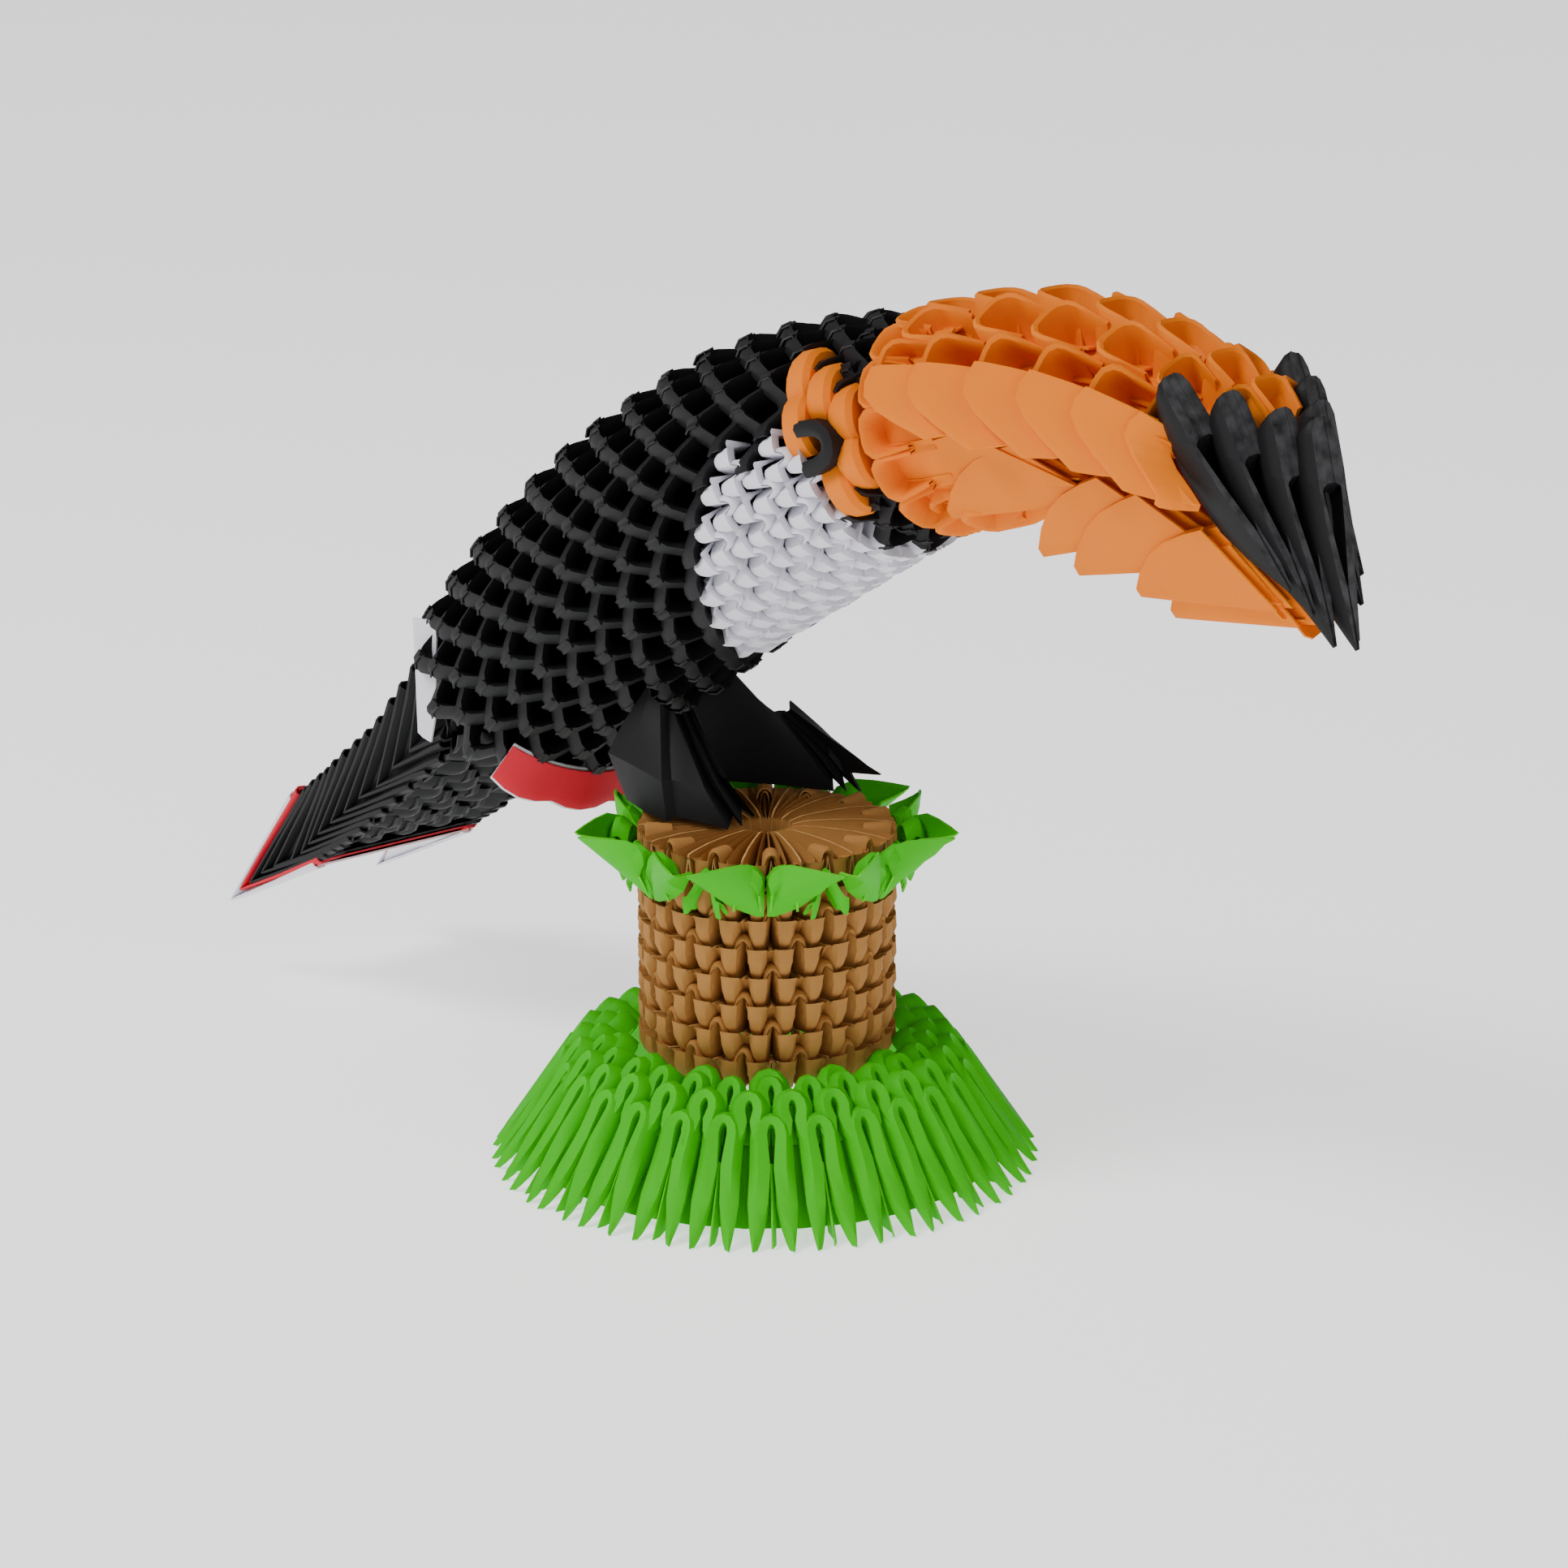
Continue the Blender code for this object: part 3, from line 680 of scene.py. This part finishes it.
# Places of the orange and black units of an eye: the row, and the station down from the top
ORANGE_PLACES = ((22, 4), (22, 6), (23, 5), (23, 9))
PUPIL_PLACE = (23, 7)
groups = [(first, first + 1) for first in range(0, 20, 2)] + [(20, 20), (21, 23)]
collar = []
rings_of_eye = {"right": [], "left": []}
pupils = {"right": [], "left": []}
for first, last in groups:
    dark, pale = [], []
    for row in range(first, last + 1):
        ring = rings[row]
        for station in range(row % 2, STATIONS, 2):
            turn = station * 360 / STATIONS
            away = min(turn, 360 - turn)
            size = ring.radius / UNIT_RADIUS
            where = ring.seat(turn + rng.uniform(-0.8, 0.8), rng.uniform(-0.15, 0.15), (size, near(1), 1))
            side = "right" if turn < 180 else "left"
            place = (row, round(away * STATIONS / 360))
            if place in ORANGE_PLACES:
                dark.append((inner_point, where))
                rings_of_eye[side].append((eye_unit, ring.seat(turn, 2.6, (1, 1, 1), ring.radius + 0.6)))
            elif place == PUPIL_PLACE:
                dark.append((inner_point, where))
                pupils[side].append((pupil_unit, ring.seat(turn, -1.6, (1, 1, 1), ring.radius + 2.4)))
            elif away >= FIRST_WHITE_TURN and between(away, white_from) <= row <= between(away, white_to):
                pale += [(breast_unit, where), (breast_arch, where @ ARCH_SHIFT)]
            elif row == 23 and away > 120:
                collar.append((body_unit, where))
            else:
                dark += [(body_unit, where), (inner_point, where)]
    label = f"{first + 1:02d}_{last + 1:02d}"
    lay("body_rows_" + label, ["body_rows_" + label], dark)
    if pale:
        lay("breast_rows_" + label, ["breast_rows_" + label], pale)

# ---------------------------------------------------------------- Eyes, collar and the beak's first ring
# Each eye is a black unit with its loop open, in a ring of orange units; a black ring closes the head, and
# the beak starts from a ring of orange units pushed into it.
head, first_ring = rings[BODY_ROWS], rings[BODY_ROWS + 1]
head_size = (head.radius / UNIT_RADIUS, 1, 1)
for station in range(0, STATIONS, 2):
    turn = station * 360 / STATIONS
    away = min(turn, 360 - turn)
    side = "right" if turn < 180 else "left"
    if round(away * STATIONS / 360) in (6, 8):
        rings_of_eye[side].append((eye_unit, head.seat(turn, 1.6, (0.95, 1, 1), head.radius + 0.3)))
    else:
        collar.append((body_unit, head.seat(turn, 0, head_size)))
for station in range(1, STATIONS, 2):
    collar.append((body_unit, head.seat(station * 360 / STATIONS, 0.7, head_size, head.radius - 0.9)))
lay("collar_row", ["collar_row"], collar)
for side in ("right", "left"):
    lay("eye_ring_" + side, ["eye_ring_" + side], rings_of_eye[side])
    lay("eye_" + side, ["eye_" + side], pupils[side])
put_away(body_unit, inner_point, breast_unit, breast_arch, eye_unit, pupil_unit)


def cup_rows(width, length, depth, lip=0.7):
    """A deep pocket seen from outside: its fold is a rounded loop at the back, its two walls run forward."""
    rows = []
    half = width / 2
    path = [(-half * 0.80, length), (-half * 0.92, length * 0.6), (-half, length * 0.3)]
    path += [(-half * 0.94, 1.6), (-half * 0.66, 0.35), (-half * 0.3, 0)]
    path += [(-x, y) for x, y in reversed(path)]
    for x, y in path:
        share = y / length
        height = 0.5 - 2.6 * share**1.3
        inside = x * (1 - lip / half)
        ahead = y + lip * (1 - share)
        rows.append([
            (x * 0.9, y + 0.4, height - depth),
            (x, y + 0.1, height - 0.4 * depth),
            (x, y, height - 0.3),
            (0.5 * (x + inside), y + 0.5 * lip, height),
            (inside, ahead, height - 0.4),
            (inside * 0.9, ahead + 0.3, height - 0.5 * depth),
            (inside * 0.6, ahead + 1.0, height - depth),
        ])
    return rows


base_cup = sheet("base_cup", cup_rows(9.0, 8.0, 7.0), orange, 0.35, 40)
cup_floor_rows = [[(x, y, z) for x in (-4.8, 0, 4.8)] for y, z in ((0, -8.6), (6, -8.0), (13, -8.0))]
cup_floor = sheet("cup_floor", cup_floor_rows, orange, 0.35)
FLOOR_RISE = Matrix.Translation((0, 0, 0.0042))
placed = []
for station in range(1, STATIONS, 2):
    turn = station * 360 / STATIONS
    where = first_ring.seat(turn, -2.5, (0.92, 1, 1), first_ring.radius + 0.9)
    placed += [(base_cup, where), (cup_floor, where @ FLOOR_RISE)]
lay("beak_base_row", ["beak_base_row"], placed)

# ---------------------------------------------------------------- Upper beak
# Rings of deep orange units, long side out: their loops stand up in offset lines along the top, and their
# smooth folded wings close each side down to the mouth.
HEAD_X, HEAD_Z = first_ring.x, first_ring.z
# Each row's distance ahead of the head, its rise, its slope in degrees, its half width and its radius
upper = (
    (1.2, 0.8, 15, 18.6, 18.8),
    (9.3, 2.0, 11, 19.0, 20.2),
    (17.5, 3.6, 7, 19.2, 20.6),
    (26.7, 5.0, 3, 19.2, 20.4),
    (35.9, 5.6, -3, 18.8, 19.4),
    (45.3, 5.4, -8, 18.2, 18.4),
    (54.3, 4.0, -13, 17.2, 17.4),
    (63.3, 3.2, -19, 15.0, 15.4),
)


def beak_ring(x):
    """The upper beak's ring at a distance x ahead of the head's last ring."""
    table = list(zip(*upper))
    value = [between(x, list(zip(table[0], column))) for column in table[1:]]
    ring = Ring(HEAD_X + x, HEAD_Z + value[0], math.radians(value[1]), value[3])
    ring.wide = value[2] / value[3]
    return ring


cup = sheet("beak_cup", cup_rows(9.4, 10.4, 9.0), orange, 0.35, 40)
# The loops stand at 0 and 56 degrees in one line, and between those in the next
SIDE_TURN = 56
in_phase = (0.4, 11.0, 23.6, 34.6, 45.6, 55.8)
between_rows = (2.6, 18.0, 29.8, 41.8, 53.6, 63.3)
loops = [(x, (0, SIDE_TURN, -SIDE_TURN)) for x in in_phase] + [(x, (28, -28)) for x in between_rows]
loops.append((63.8, (0,)))
# Down a wing: its share of the way and how far its back edge lies behind, then along it: share and lift
wing_edge = ((0, 0.6), (0.18, -0.5), (0.36, -0.4), (0.54, 2.2), (0.72, 6.2), (0.87, 10.0), (1.0, 13.0))
wing_lift = ((0, -1.0), (0.02, 1.2), (0.2, 1.3), (0.5, 0.2), (1.0, -3.0))
FRONT_X = 50
starts = [row[0] for row in upper]
members = {n: [] for n in range(1, len(upper) + 1)}
IN_PLACE = Matrix.Identity(4)
wings = []
for x, turns in loops:
    ring = beak_ring(x)
    row = 1 + min(range(len(upper)), key=lambda n: abs(starts[n] - x))
    for turn in turns:
        size = (ring.radius / 20.5, 1 if x < FRONT_X else 0.62, 1)
        where = ring.seat(turn + rng.uniform(-0.8, 0.8), 0, size, ring.radius - 0.4, ring.wide)
        members[row].append((cup, where))
        members[row].append((cup_floor, where))
        # The folded wings that close the sides: their back edges sweep down and forward to the mouth
        if turn == -SIDE_TURN:
            for sign in (1, -1):
                rows = []
                for t, back in wing_edge:
                    line = []
                    reach = (15.5 if x < FRONT_X else 7.0) * (1 - 0.25 * t)
                    back = min(back, 9.0) if x > FRONT_X else back
                    for s, lift in wing_lift:
                        along, radius = back + reach * s - 0.3, ring.radius + lift - 0.3 * t
                        line.append(ring.point(sign * (60 + 38 * t), along, radius, ring.wide))
                    rows.append(line if sign > 0 else line[::-1])
                wing = sheet("beak_wing", rows, orange, 0.35, 50)
                wings.append(wing)
                members[row].append((wing, IN_PLACE))
for row, placed in members.items():
    lay(f"beak_upper_row_{row}", [f"beak_upper_row_{row}"], placed)
put_away(*wings)

# ---------------------------------------------------------------- Lower beak
# Six nested rows of orange units, whose wide folded wings form the smooth stepped sides. The first two rows
# are pushed into the beak's base ring and show their loops along the underside.
# Each wing's lower back corner, upper back corner and point, seen from the side, as (x, y, z)
lower = (
    ((47.6, -9.0, 133.0), (68.0, -16.0, 146.6), (90.9, -13.5, 141.3)),
    ((56.7, -9.0, 129.2), (77.7, -15.0, 146.0), (96.0, -12.0, 139.4)),
    ((77.6, -8.2, 126.4), (95.9, -13.6, 143.7), (110.5, -10.5, 136.6)),
    ((85.3, -7.8, 124.8), (104.0, -13.0, 142.4), (121.1, -9.0, 133.0)),
    ((98.7, -7.2, 123.9), (116.7, -11.6, 138.9), (127.5, -6.0, 126.9)),
    ((103.5, -4.2, 120.9), (120.6, -9.0, 136.8), (129.6, -3.0, 124.2)),
)
PAPER_LAYERS = 3
LAYER_STEP = Vector((1.6, 1.9, 0.5))
for row, (low, high, point) in enumerate(lower):
    low, high, point = (Vector((x + CENTRE_X, y, z)) for x, y, z in (low, high, point))
    made, placed = [], []
    for sign in (1, -1):
        for layer in range(PAPER_LAYERS):
            rows = []
            for a in (0, 0.08, 0.25, 0.45, 0.65, 0.85, 1.0):
                start = low.lerp(high, a)
                swell = math.sin(math.pi * a)
                start += Vector((-3.0 * swell, 0, 1.6 * swell))
                end = point + (high - point) * 0.10 * a
                line = []
                for b in (0, 0.03, 0.2, 0.5, 0.8, 1.0):
                    at = start.lerp(end, b)
                    out = 1.5 * math.sin(math.pi * (0.25 + 0.6 * a)) * (1 - b) - (0.9 if b == 0 else 0)
                    if a == 0:
                        out -= 1.3 * (1 - b)
                    at.y -= out
                    at += LAYER_STEP * layer
                    at.y = min(at.y, -0.3) * sign
                    line.append(tuple(at))
                rows.append(line if sign > 0 else line[::-1])
            wing = sheet("lower_wing", rows, orange, 0.35, 50)
            made.append(wing)
            placed.append((wing, IN_PLACE))
        # The face turned in under the beak, a little inside the lower edge
        rows = []
        for share in (0, 0.35, 0.7, 1.0):
            line = []
            for b in (0.05, 0.35, 0.7, 1.0):
                at = low.lerp(point, b)
                at.y = (at.y + 0.8) * (1 - share) * sign
                at.z += 0.9 - 1.6 * math.sin(math.pi * 0.5 * share) * (1 - b) + 0.6 * share
                line.append(tuple(at))
            rows.append(line if sign > 0 else line[::-1])
        under = sheet("lower_under", rows, orange, 0.35, 50)
        # The floor of the mouth
        rows = []
        for share in (0, 0.5, 1.0):
            line = []
            for b in (0.0, 0.5, 1.0):
                at = high.lerp(point, b)
                at.y = (at.y + 1.2) * (1 - share) * sign
                at.z += -1.6 - 2.5 * share * (1 - 0.7 * b)
                line.append(tuple(at))
            rows.append(line if sign > 0 else line[::-1])
        mouth = sheet("mouth_floor", rows, orange, 0.35, 50)
        made += [under, mouth]
        placed += [(under, IN_PLACE), (mouth, IN_PLACE)]
    if row < 2:
        ring = Ring(HEAD_X + 3.6 + 8 * row, HEAD_Z - 2.8, math.radians(12 - 4 * row), 12.6 + 0.8 * row)
        for turn in (152, 180, 208):
            placed.append((base_cup, ring.seat(turn, -1.0, (0.95, 1.0, 1), ring.radius - 0.3, 1.28 - 0.1 * row)))
    lay(f"beak_lower_row_{row + 1}", [f"beak_lower_row_{row + 1}"], placed)
    put_away(*made)
put_away(cup, base_cup, cup_floor)

# ---------------------------------------------------------------- Beak tip
# Seven long black paper units, folded to blades, whose loops are pushed in round the front of the upper
# beak and whose points meet at the beak's point.
# A blade's share of its length, half width and depth, and the line of its fold at each
blade_steps = (
    (-0.012, 1.0, 0.2), (0.01, 2.1, 1.6), (0.06, 2.8, 4.0),
    (0.16, 3.0, 6.6), (0.32, 2.7, 8.4), (0.5, 2.2, 8.0),
    (0.7, 1.5, 5.6), (0.87, 0.8, 2.8), (1.0, 0.25, 0.6),
)
blade_side = ((0.86, 0), (1.0, -0.2), (1.02, -0.5), (0.7, -0.85))
blade_line = (*((-x, z) for x, z in blade_side), (0, -1), *reversed(blade_side))
blade = [[(x * width, -t, z * deep) for x, z in blade_line] for t, width, deep in blade_steps]
tip_blade = sheet("tip_blade", blade, black, 0.4, 50)
# Each pair's distance from the middle, and its loop and point seen from the side
tip_pairs = (
    (-13.0, (114.3, 157.4), (129.3, 135.6)),
    (-8.7, (121.5, 155.2), (132.6, 132.0)),
    (-4.2, (127.3, 152.6), (135.2, 127.4)),
    (0, (131.0, 151.4), (137.7, 126.8)),
)
placed = []
for side, loop, point in tip_pairs:
    for sign in ((1, -1) if side else (1,)):
        start = Vector((loop[0] + CENTRE_X, sign * side, loop[1]))
        end = Vector((point[0] + CENTRE_X, sign * side * 0.68, point[1]))
        down = end - start
        length = down.length
        forward = Vector((0.8, sign * side * 0.02, 0.6))
        back = (-down).normalized()
        out = (forward - back * forward.dot(back)).normalized()
        placed.append((tip_blade, seat(back.cross(out), back, out, start, (1, length, 1))))
lay("beak_tip", ["beak_tip"], placed)
put_away(tip_blade)

# ---------------------------------------------------------------- Tail
# Nested rows of black paper units pushed into each other that step down and back: their flat wings lie over
# each other on the two sides, each with its corner low at the back, and the last two rows are red and white.
red = paper("red_paper", (0.66, 0.012, 0.035), (0.52, 0.006, 0.02), (0.78, 0.06, 0.09), 0.55)
# For each row the upper end, the corner and the lower end of its wing's edge, seen from the side
tail_edges = (
    ((-76.6, 82.0), (-80.6, 60.8), (-70.0, 65.6)), ((-79.5, 78.5), (-86.3, 56.3), (-70.2, 64.0)),
    ((-83.4, 74.2), (-91.7, 51.4), (-70.5, 61.2)), ((-87.0, 70.3), (-97.6, 47.9), (-75.0, 57.8)),
    ((-91.0, 65.8), (-102.8, 43.8), (-80.5, 53.6)), ((-95.0, 62.4), (-107.4, 40.7), (-85.5, 49.8)),
    ((-98.7, 59.6), (-111.8, 37.4), (-89.4, 46.8)), ((-102.7, 56.7), (-115.1, 34.6), (-93.4, 43.9)),
    ((-106.2, 53.9), (-117.8, 32.0), (-96.6, 41.4)), ((-108.6, 51.8), (-121.7, 29.2), (-100.8, 38.5)),
    ((-111.2, 50.0), (-127.4, 27.0), (-103.7, 36.7)), ((-113.8, 48.1), (-131.9, 24.6), (-106.4, 35.2)),
    ((-116.0, 46.3), (-136.2, 21.5), (-109.5, 33.2)), ((-118.8, 45.6), (-139.8, 19.2), (-111.2, 31.8)),
    ((-121.0, 44.0), (-143.2, 16.2), (-112.7, 30.4)),
)


TAIL_HALF = 19.2
# From a wing's edge inwards: how far in, and how far out from the tail's side
WING_LIP = ((0.15, -2.4), (0.0, -0.75), (0.5, 0.05), (1.2, 0.1), (2.8, -1.5))


def tail_points(row):
    """The upper end, the corner and the lower end of a row's edge, on the middle plane."""
    return [Vector((x + CENTRE_X, 0, z)) for x, z in tail_edges[row]]


def tail_wing(row, sign, colour):
    """A flat folded wing on one side, its edge running down to the corner and forward again."""
    top, corner, low = tail_points(row)
    inside = top.lerp(low, 0.5)
    edge = [top.lerp(corner, t) for t in (0, 0.3, 0.6, 0.85, 0.96)] + [corner]
    edge += [corner.lerp(low, t) for t in (0.05, 0.2, 0.5, 0.8, 1.0)]
    rows = []
    for at in edge:
        away = (inside - at).length
        line = []
        for reach, out in (*WING_LIP, (0.9 * away, -1.5 - 0.08 * away)):
            point = at.lerp(inside, min(0.95, reach / max(away, 0.1)))
            line.append((point.x, sign * (TAIL_HALF + out), point.z))
        rows.append(line if sign < 0 else line[::-1])
    return sheet("tail_wing", rows, colour, 0.35, 20)


tail_loop = sheet("tail_loop", loop_rows(9.6, 4.2, 1.6, 0.8, 5.0), black, 0.4)
BLACK_ROWS, RED_ROW, WHITE_ROW = 13, 13, 14
placed, made = [], []
for row in range(BLACK_ROWS):
    top, _, low = tail_points(row)
    before, after = tail_edges[max(row - 1, 0)], tail_edges[min(row + 1, BLACK_ROWS - 1)]
    for sign in (-1, 1):
        made.append(tail_wing(row, sign, black))
        placed.append((made[-1], IN_PLACE))
    count = 4 if row % 2 == 0 else 5
    ends = ((before[0], after[0]), (before[2], after[2]))
    run, belly = (Vector((b[0] - a[0], 0, b[1] - a[1])).normalized() for a, b in ends)
    up, down = Vector((run.z, 0, -run.x)), Vector((-belly.z, 0, belly.x))
    for unit in range(count):
        y = (unit - (count - 1) / 2) * (8.4 if count == 4 else 6.7)
        above, below = Vector((top.x, y, top.z)) - up * 1.2, Vector((low.x, y, low.z)) - down * 1.6
        placed.append((tail_loop, seat((-run).cross(up), -run, up, above, (0.8, 1, 1))))
        placed.append((tail_loop, seat(belly.cross(down), belly, down, below, (0.8, 1, 1))))


FACE_HALF = 18.4


def end_face(row, inset, colour):
    """The units of a row seen from behind and below: folded faces from the upper edge round the corner."""
    top, corner, low = tail_points(row)
    middle = top.lerp(low, 0.5)
    rows = []
    for part in range(9):
        share = part / 4 - 1
        pull = inset + (0.10 if part % 2 else 0.0) - (inset + 0.02 if abs(share) == 1 else 0)
        at = corner.lerp(middle, pull + 0.04)
        line = [top.lerp(middle, 0.06), top.lerp(at, 0.5), top.lerp(at, 0.93), at]
        line += [at.lerp(low, 0.07), at.lerp(low, 0.5), low.lerp(middle, 0.06)]
        rows.append([(point.x, FACE_HALF * share, point.z) for point in line])
    return sheet("end_face", rows, colour, 0.35, 30)


made.append(end_face(BLACK_ROWS - 1, 0.26, black))
placed.append((made[-1], IN_PLACE))
lay("tail_rows", ["tail_rows"], placed)
put_away(*made)
for name, slot, colour, row in (
    ("tail_red_row", "red_paper", red, RED_ROW),
    ("tail_white_row", "white_paper", white, WHITE_ROW),
):
    made = [tail_wing(row, -1, colour), tail_wing(row, 1, colour), end_face(row, 0.24, colour)]
    lay(name, [name], [(part, IN_PLACE) for part in made])
    put_away(*made)

# ---------------------------------------------------------------- Rump and undertail
# A row of upright white paper units between the body's last ring and the tail, and short red and white rows
# pushed in under the tail, here one band each.
RUMP_UNITS, RUMP_SPACING = 5, 7.9
rump_line = ((-77.4, 85.6), (-75.9, 86.6), (-73.4, 85.4), (-71.5, 82.0), (-71.0, 78.0))
# The near and far end of each line across a side strip, as (x, z)
side_lines = (
    ((-77.4, 88.0), (-70.0, 89.0)),
    ((-77.0, 80.0), (-70.5, 79.0)),
    ((-76.8, 72.0), (-71.0, 70.5)),
    ((-76.6, 66.0), (-72.6, 65.0)),
)
made, placed = [], []
for unit in range(RUMP_UNITS):
    y = (unit - 2) * RUMP_SPACING
    rows = []
    for u in (-1, -0.5, 0, 0.5, 1):
        rows.append([(x + CENTRE_X - 0.5 * abs(u), y + 3.7 * u, z - 1.6 * abs(u)) for x, z in rump_line])
    wing = sheet("rump_wing", rows, white, 0.4, 40)
    made.append(wing)
    placed.append((wing, IN_PLACE))
for sign in (-1, 1):
    rows = []
    for a, b in side_lines:
        line = []
        for s in (0, 0.5, 1):
            x, z = a[0] + (b[0] - a[0]) * s + CENTRE_X, a[1] + (b[1] - a[1]) * s
            line.append((x, sign * (19.7 + 0.3 * math.sin(math.pi * s)), z))
        rows.append(line)
    if sign > 0:
        rows.reverse()
    wing = sheet("rump_side", rows, white, 0.4, 40)
    made.append(wing)
    placed.append((wing, IN_PLACE))
lay("rump_white_row", ["rump_white_row"], placed)
put_away(*made)
rump = rings[0]
for name, slot, colour, out, back in (
    ("undertail_red_row", "red_paper", red, 2.2, 2.6),
    ("undertail_white_row", "white_paper", white, 1.4, 4.0),
):
    rows = []
    for part in range(17):
        turn = 180 + (part - 8) * 6.43
        wave = abs(math.sin(math.pi * part / 4))
        edge = ((-back - 0.8 * wave, 1.0 + 0.8 * wave), (-back + 1.2, 0.8 + 0.9 * wave), (0.5, 0.5), (5.0, -1.0))
        rows.append([rump.point(turn, along, rump.radius + out + lift) for along, lift in edge])
    band = sheet("under_band", rows, colour, 0.4, 30)
    lay(name, [name], [(band, IN_PLACE)])
    put_away(band)
put_away(tail_loop)

# ---------------------------------------------------------------- Feet
# Four black units a foot, folded flat and fanned out from under the body, their points on the stump's
# pleated top. Each line of the fan runs from the body down to the stump, ridge and valley in turn.
right_fan = (
    ((-12.8, -15.5, 81.9), (-24.9, -15.3, 72.6), (-19.5, -15.5, 65.2)),
    ((-11.4, -16.3, 80.6), (-17.0, -17.0, 72.8), (-13.8, -16.3, 64.6)),
    ((-9.3, -15.8, 79.4), (-8.9, -16.2, 71.0), (-8.3, -15.6, 63.6)),
    ((-9.6, -13.8, 77.6), (-8.6, -14.2, 71.0), (-7.6, -14.0, 64.4)),
    ((-8.0, -13.6, 77.8), (-3.0, -12.6, 70.6), (-1.0, -12.0, 64.2)),
    ((-7.2, -14.0, 77.6), (-1.4, -12.6, 70.6), (2.3, -10.4, 63.6)),
    ((-8.6, -11.4, 76.6), (-4.8, -8.6, 70.0), (-0.8, -6.6, 64.8)),
    ((-6.6, -12.6, 77.8), (-1.2, -10.0, 70.8), (2.1, -7.1, 63.6)),
    ((-8.6, -9.6, 77.0), (-5.6, -5.6, 70.4), (-3.0, -2.8, 64.8)),
    ((-6.2, -11.0, 78.2), (-2.4, -6.6, 71.0), (-0.8, -1.8, 63.6)),
    ((-9.4, -9.4, 79.0), (-9.0, -6.0, 72.0), (-7.0, -3.0, 66.2)),
)
left_fan = (
    ((-27.0, 3.0, 82.0), (-26.5, 4.6, 71.6), (-21.0, 7.4, 63.9)),
    ((-17.4, 8.6, 85.0), (-15.0, 12.0, 71.4), (-12.0, 14.2, 63.8)),
    ((-13.5, 12.8, 78.6), (-9.6, 15.2, 71.2), (-7.0, 17.0, 63.7)),
    ((-11.6, 15.0, 76.2), (-7.4, 17.0, 69.8), (-3.1, 19.2, 63.6)),
    ((-12.0, 16.8, 76.0), (-8.4, 18.8, 70.4), (-4.6, 20.2, 65.6)),
    ((-11.8, 16.4, 76.0), (-6.4, 18.6, 69.6), (-1.2, 20.6, 63.6)),
    ((-12.0, 18.0, 75.8), (-7.0, 20.0, 70.6), (-3.2, 21.4, 66.0)),
    ((-11.0, 17.0, 75.8), (-5.0, 19.8, 69.8), (0.6, 22.4, 63.8)),
    ((-12.0, 19.0, 75.6), (-6.0, 20.6, 71.0), (-1.0, 21.4, 67.2)),
    ((-11.4, 18.6, 76.2), (-2.0, 19.6, 72.4), (8.7, 20.0, 69.2)),
    ((-13.0, 20.0, 77.0), (-9.0, 21.0, 74.0), (-4.0, 21.0, 71.6)),
)
# Each fan's upper ends go up and in to the body's underside
for name, fan, into_body in (
    ("foot_right", right_fan, Vector((-6.6, 5.0, 3.4))),
    ("foot_left", left_fan, Vector((-1.0, -2.0, 1.5))),
):
    rows = []
    for start, middle, end in fan:
        start, middle, end = (Vector((x + CENTRE_X, y, z)) for x, y, z in (start, middle, end))
        start += into_body
        line = [start, start.lerp(middle, 0.55), middle, middle.lerp(end, 0.5), end]
        line[1] += (middle - start.lerp(end, 0.5)) * 0.12
        rows.append([tuple(point) for point in line])
    fold = sheet("foot_fan", rows, black, 0.45, 28)
    lay(name, [name], [(fold, IN_PLACE)])
    put_away(fold)
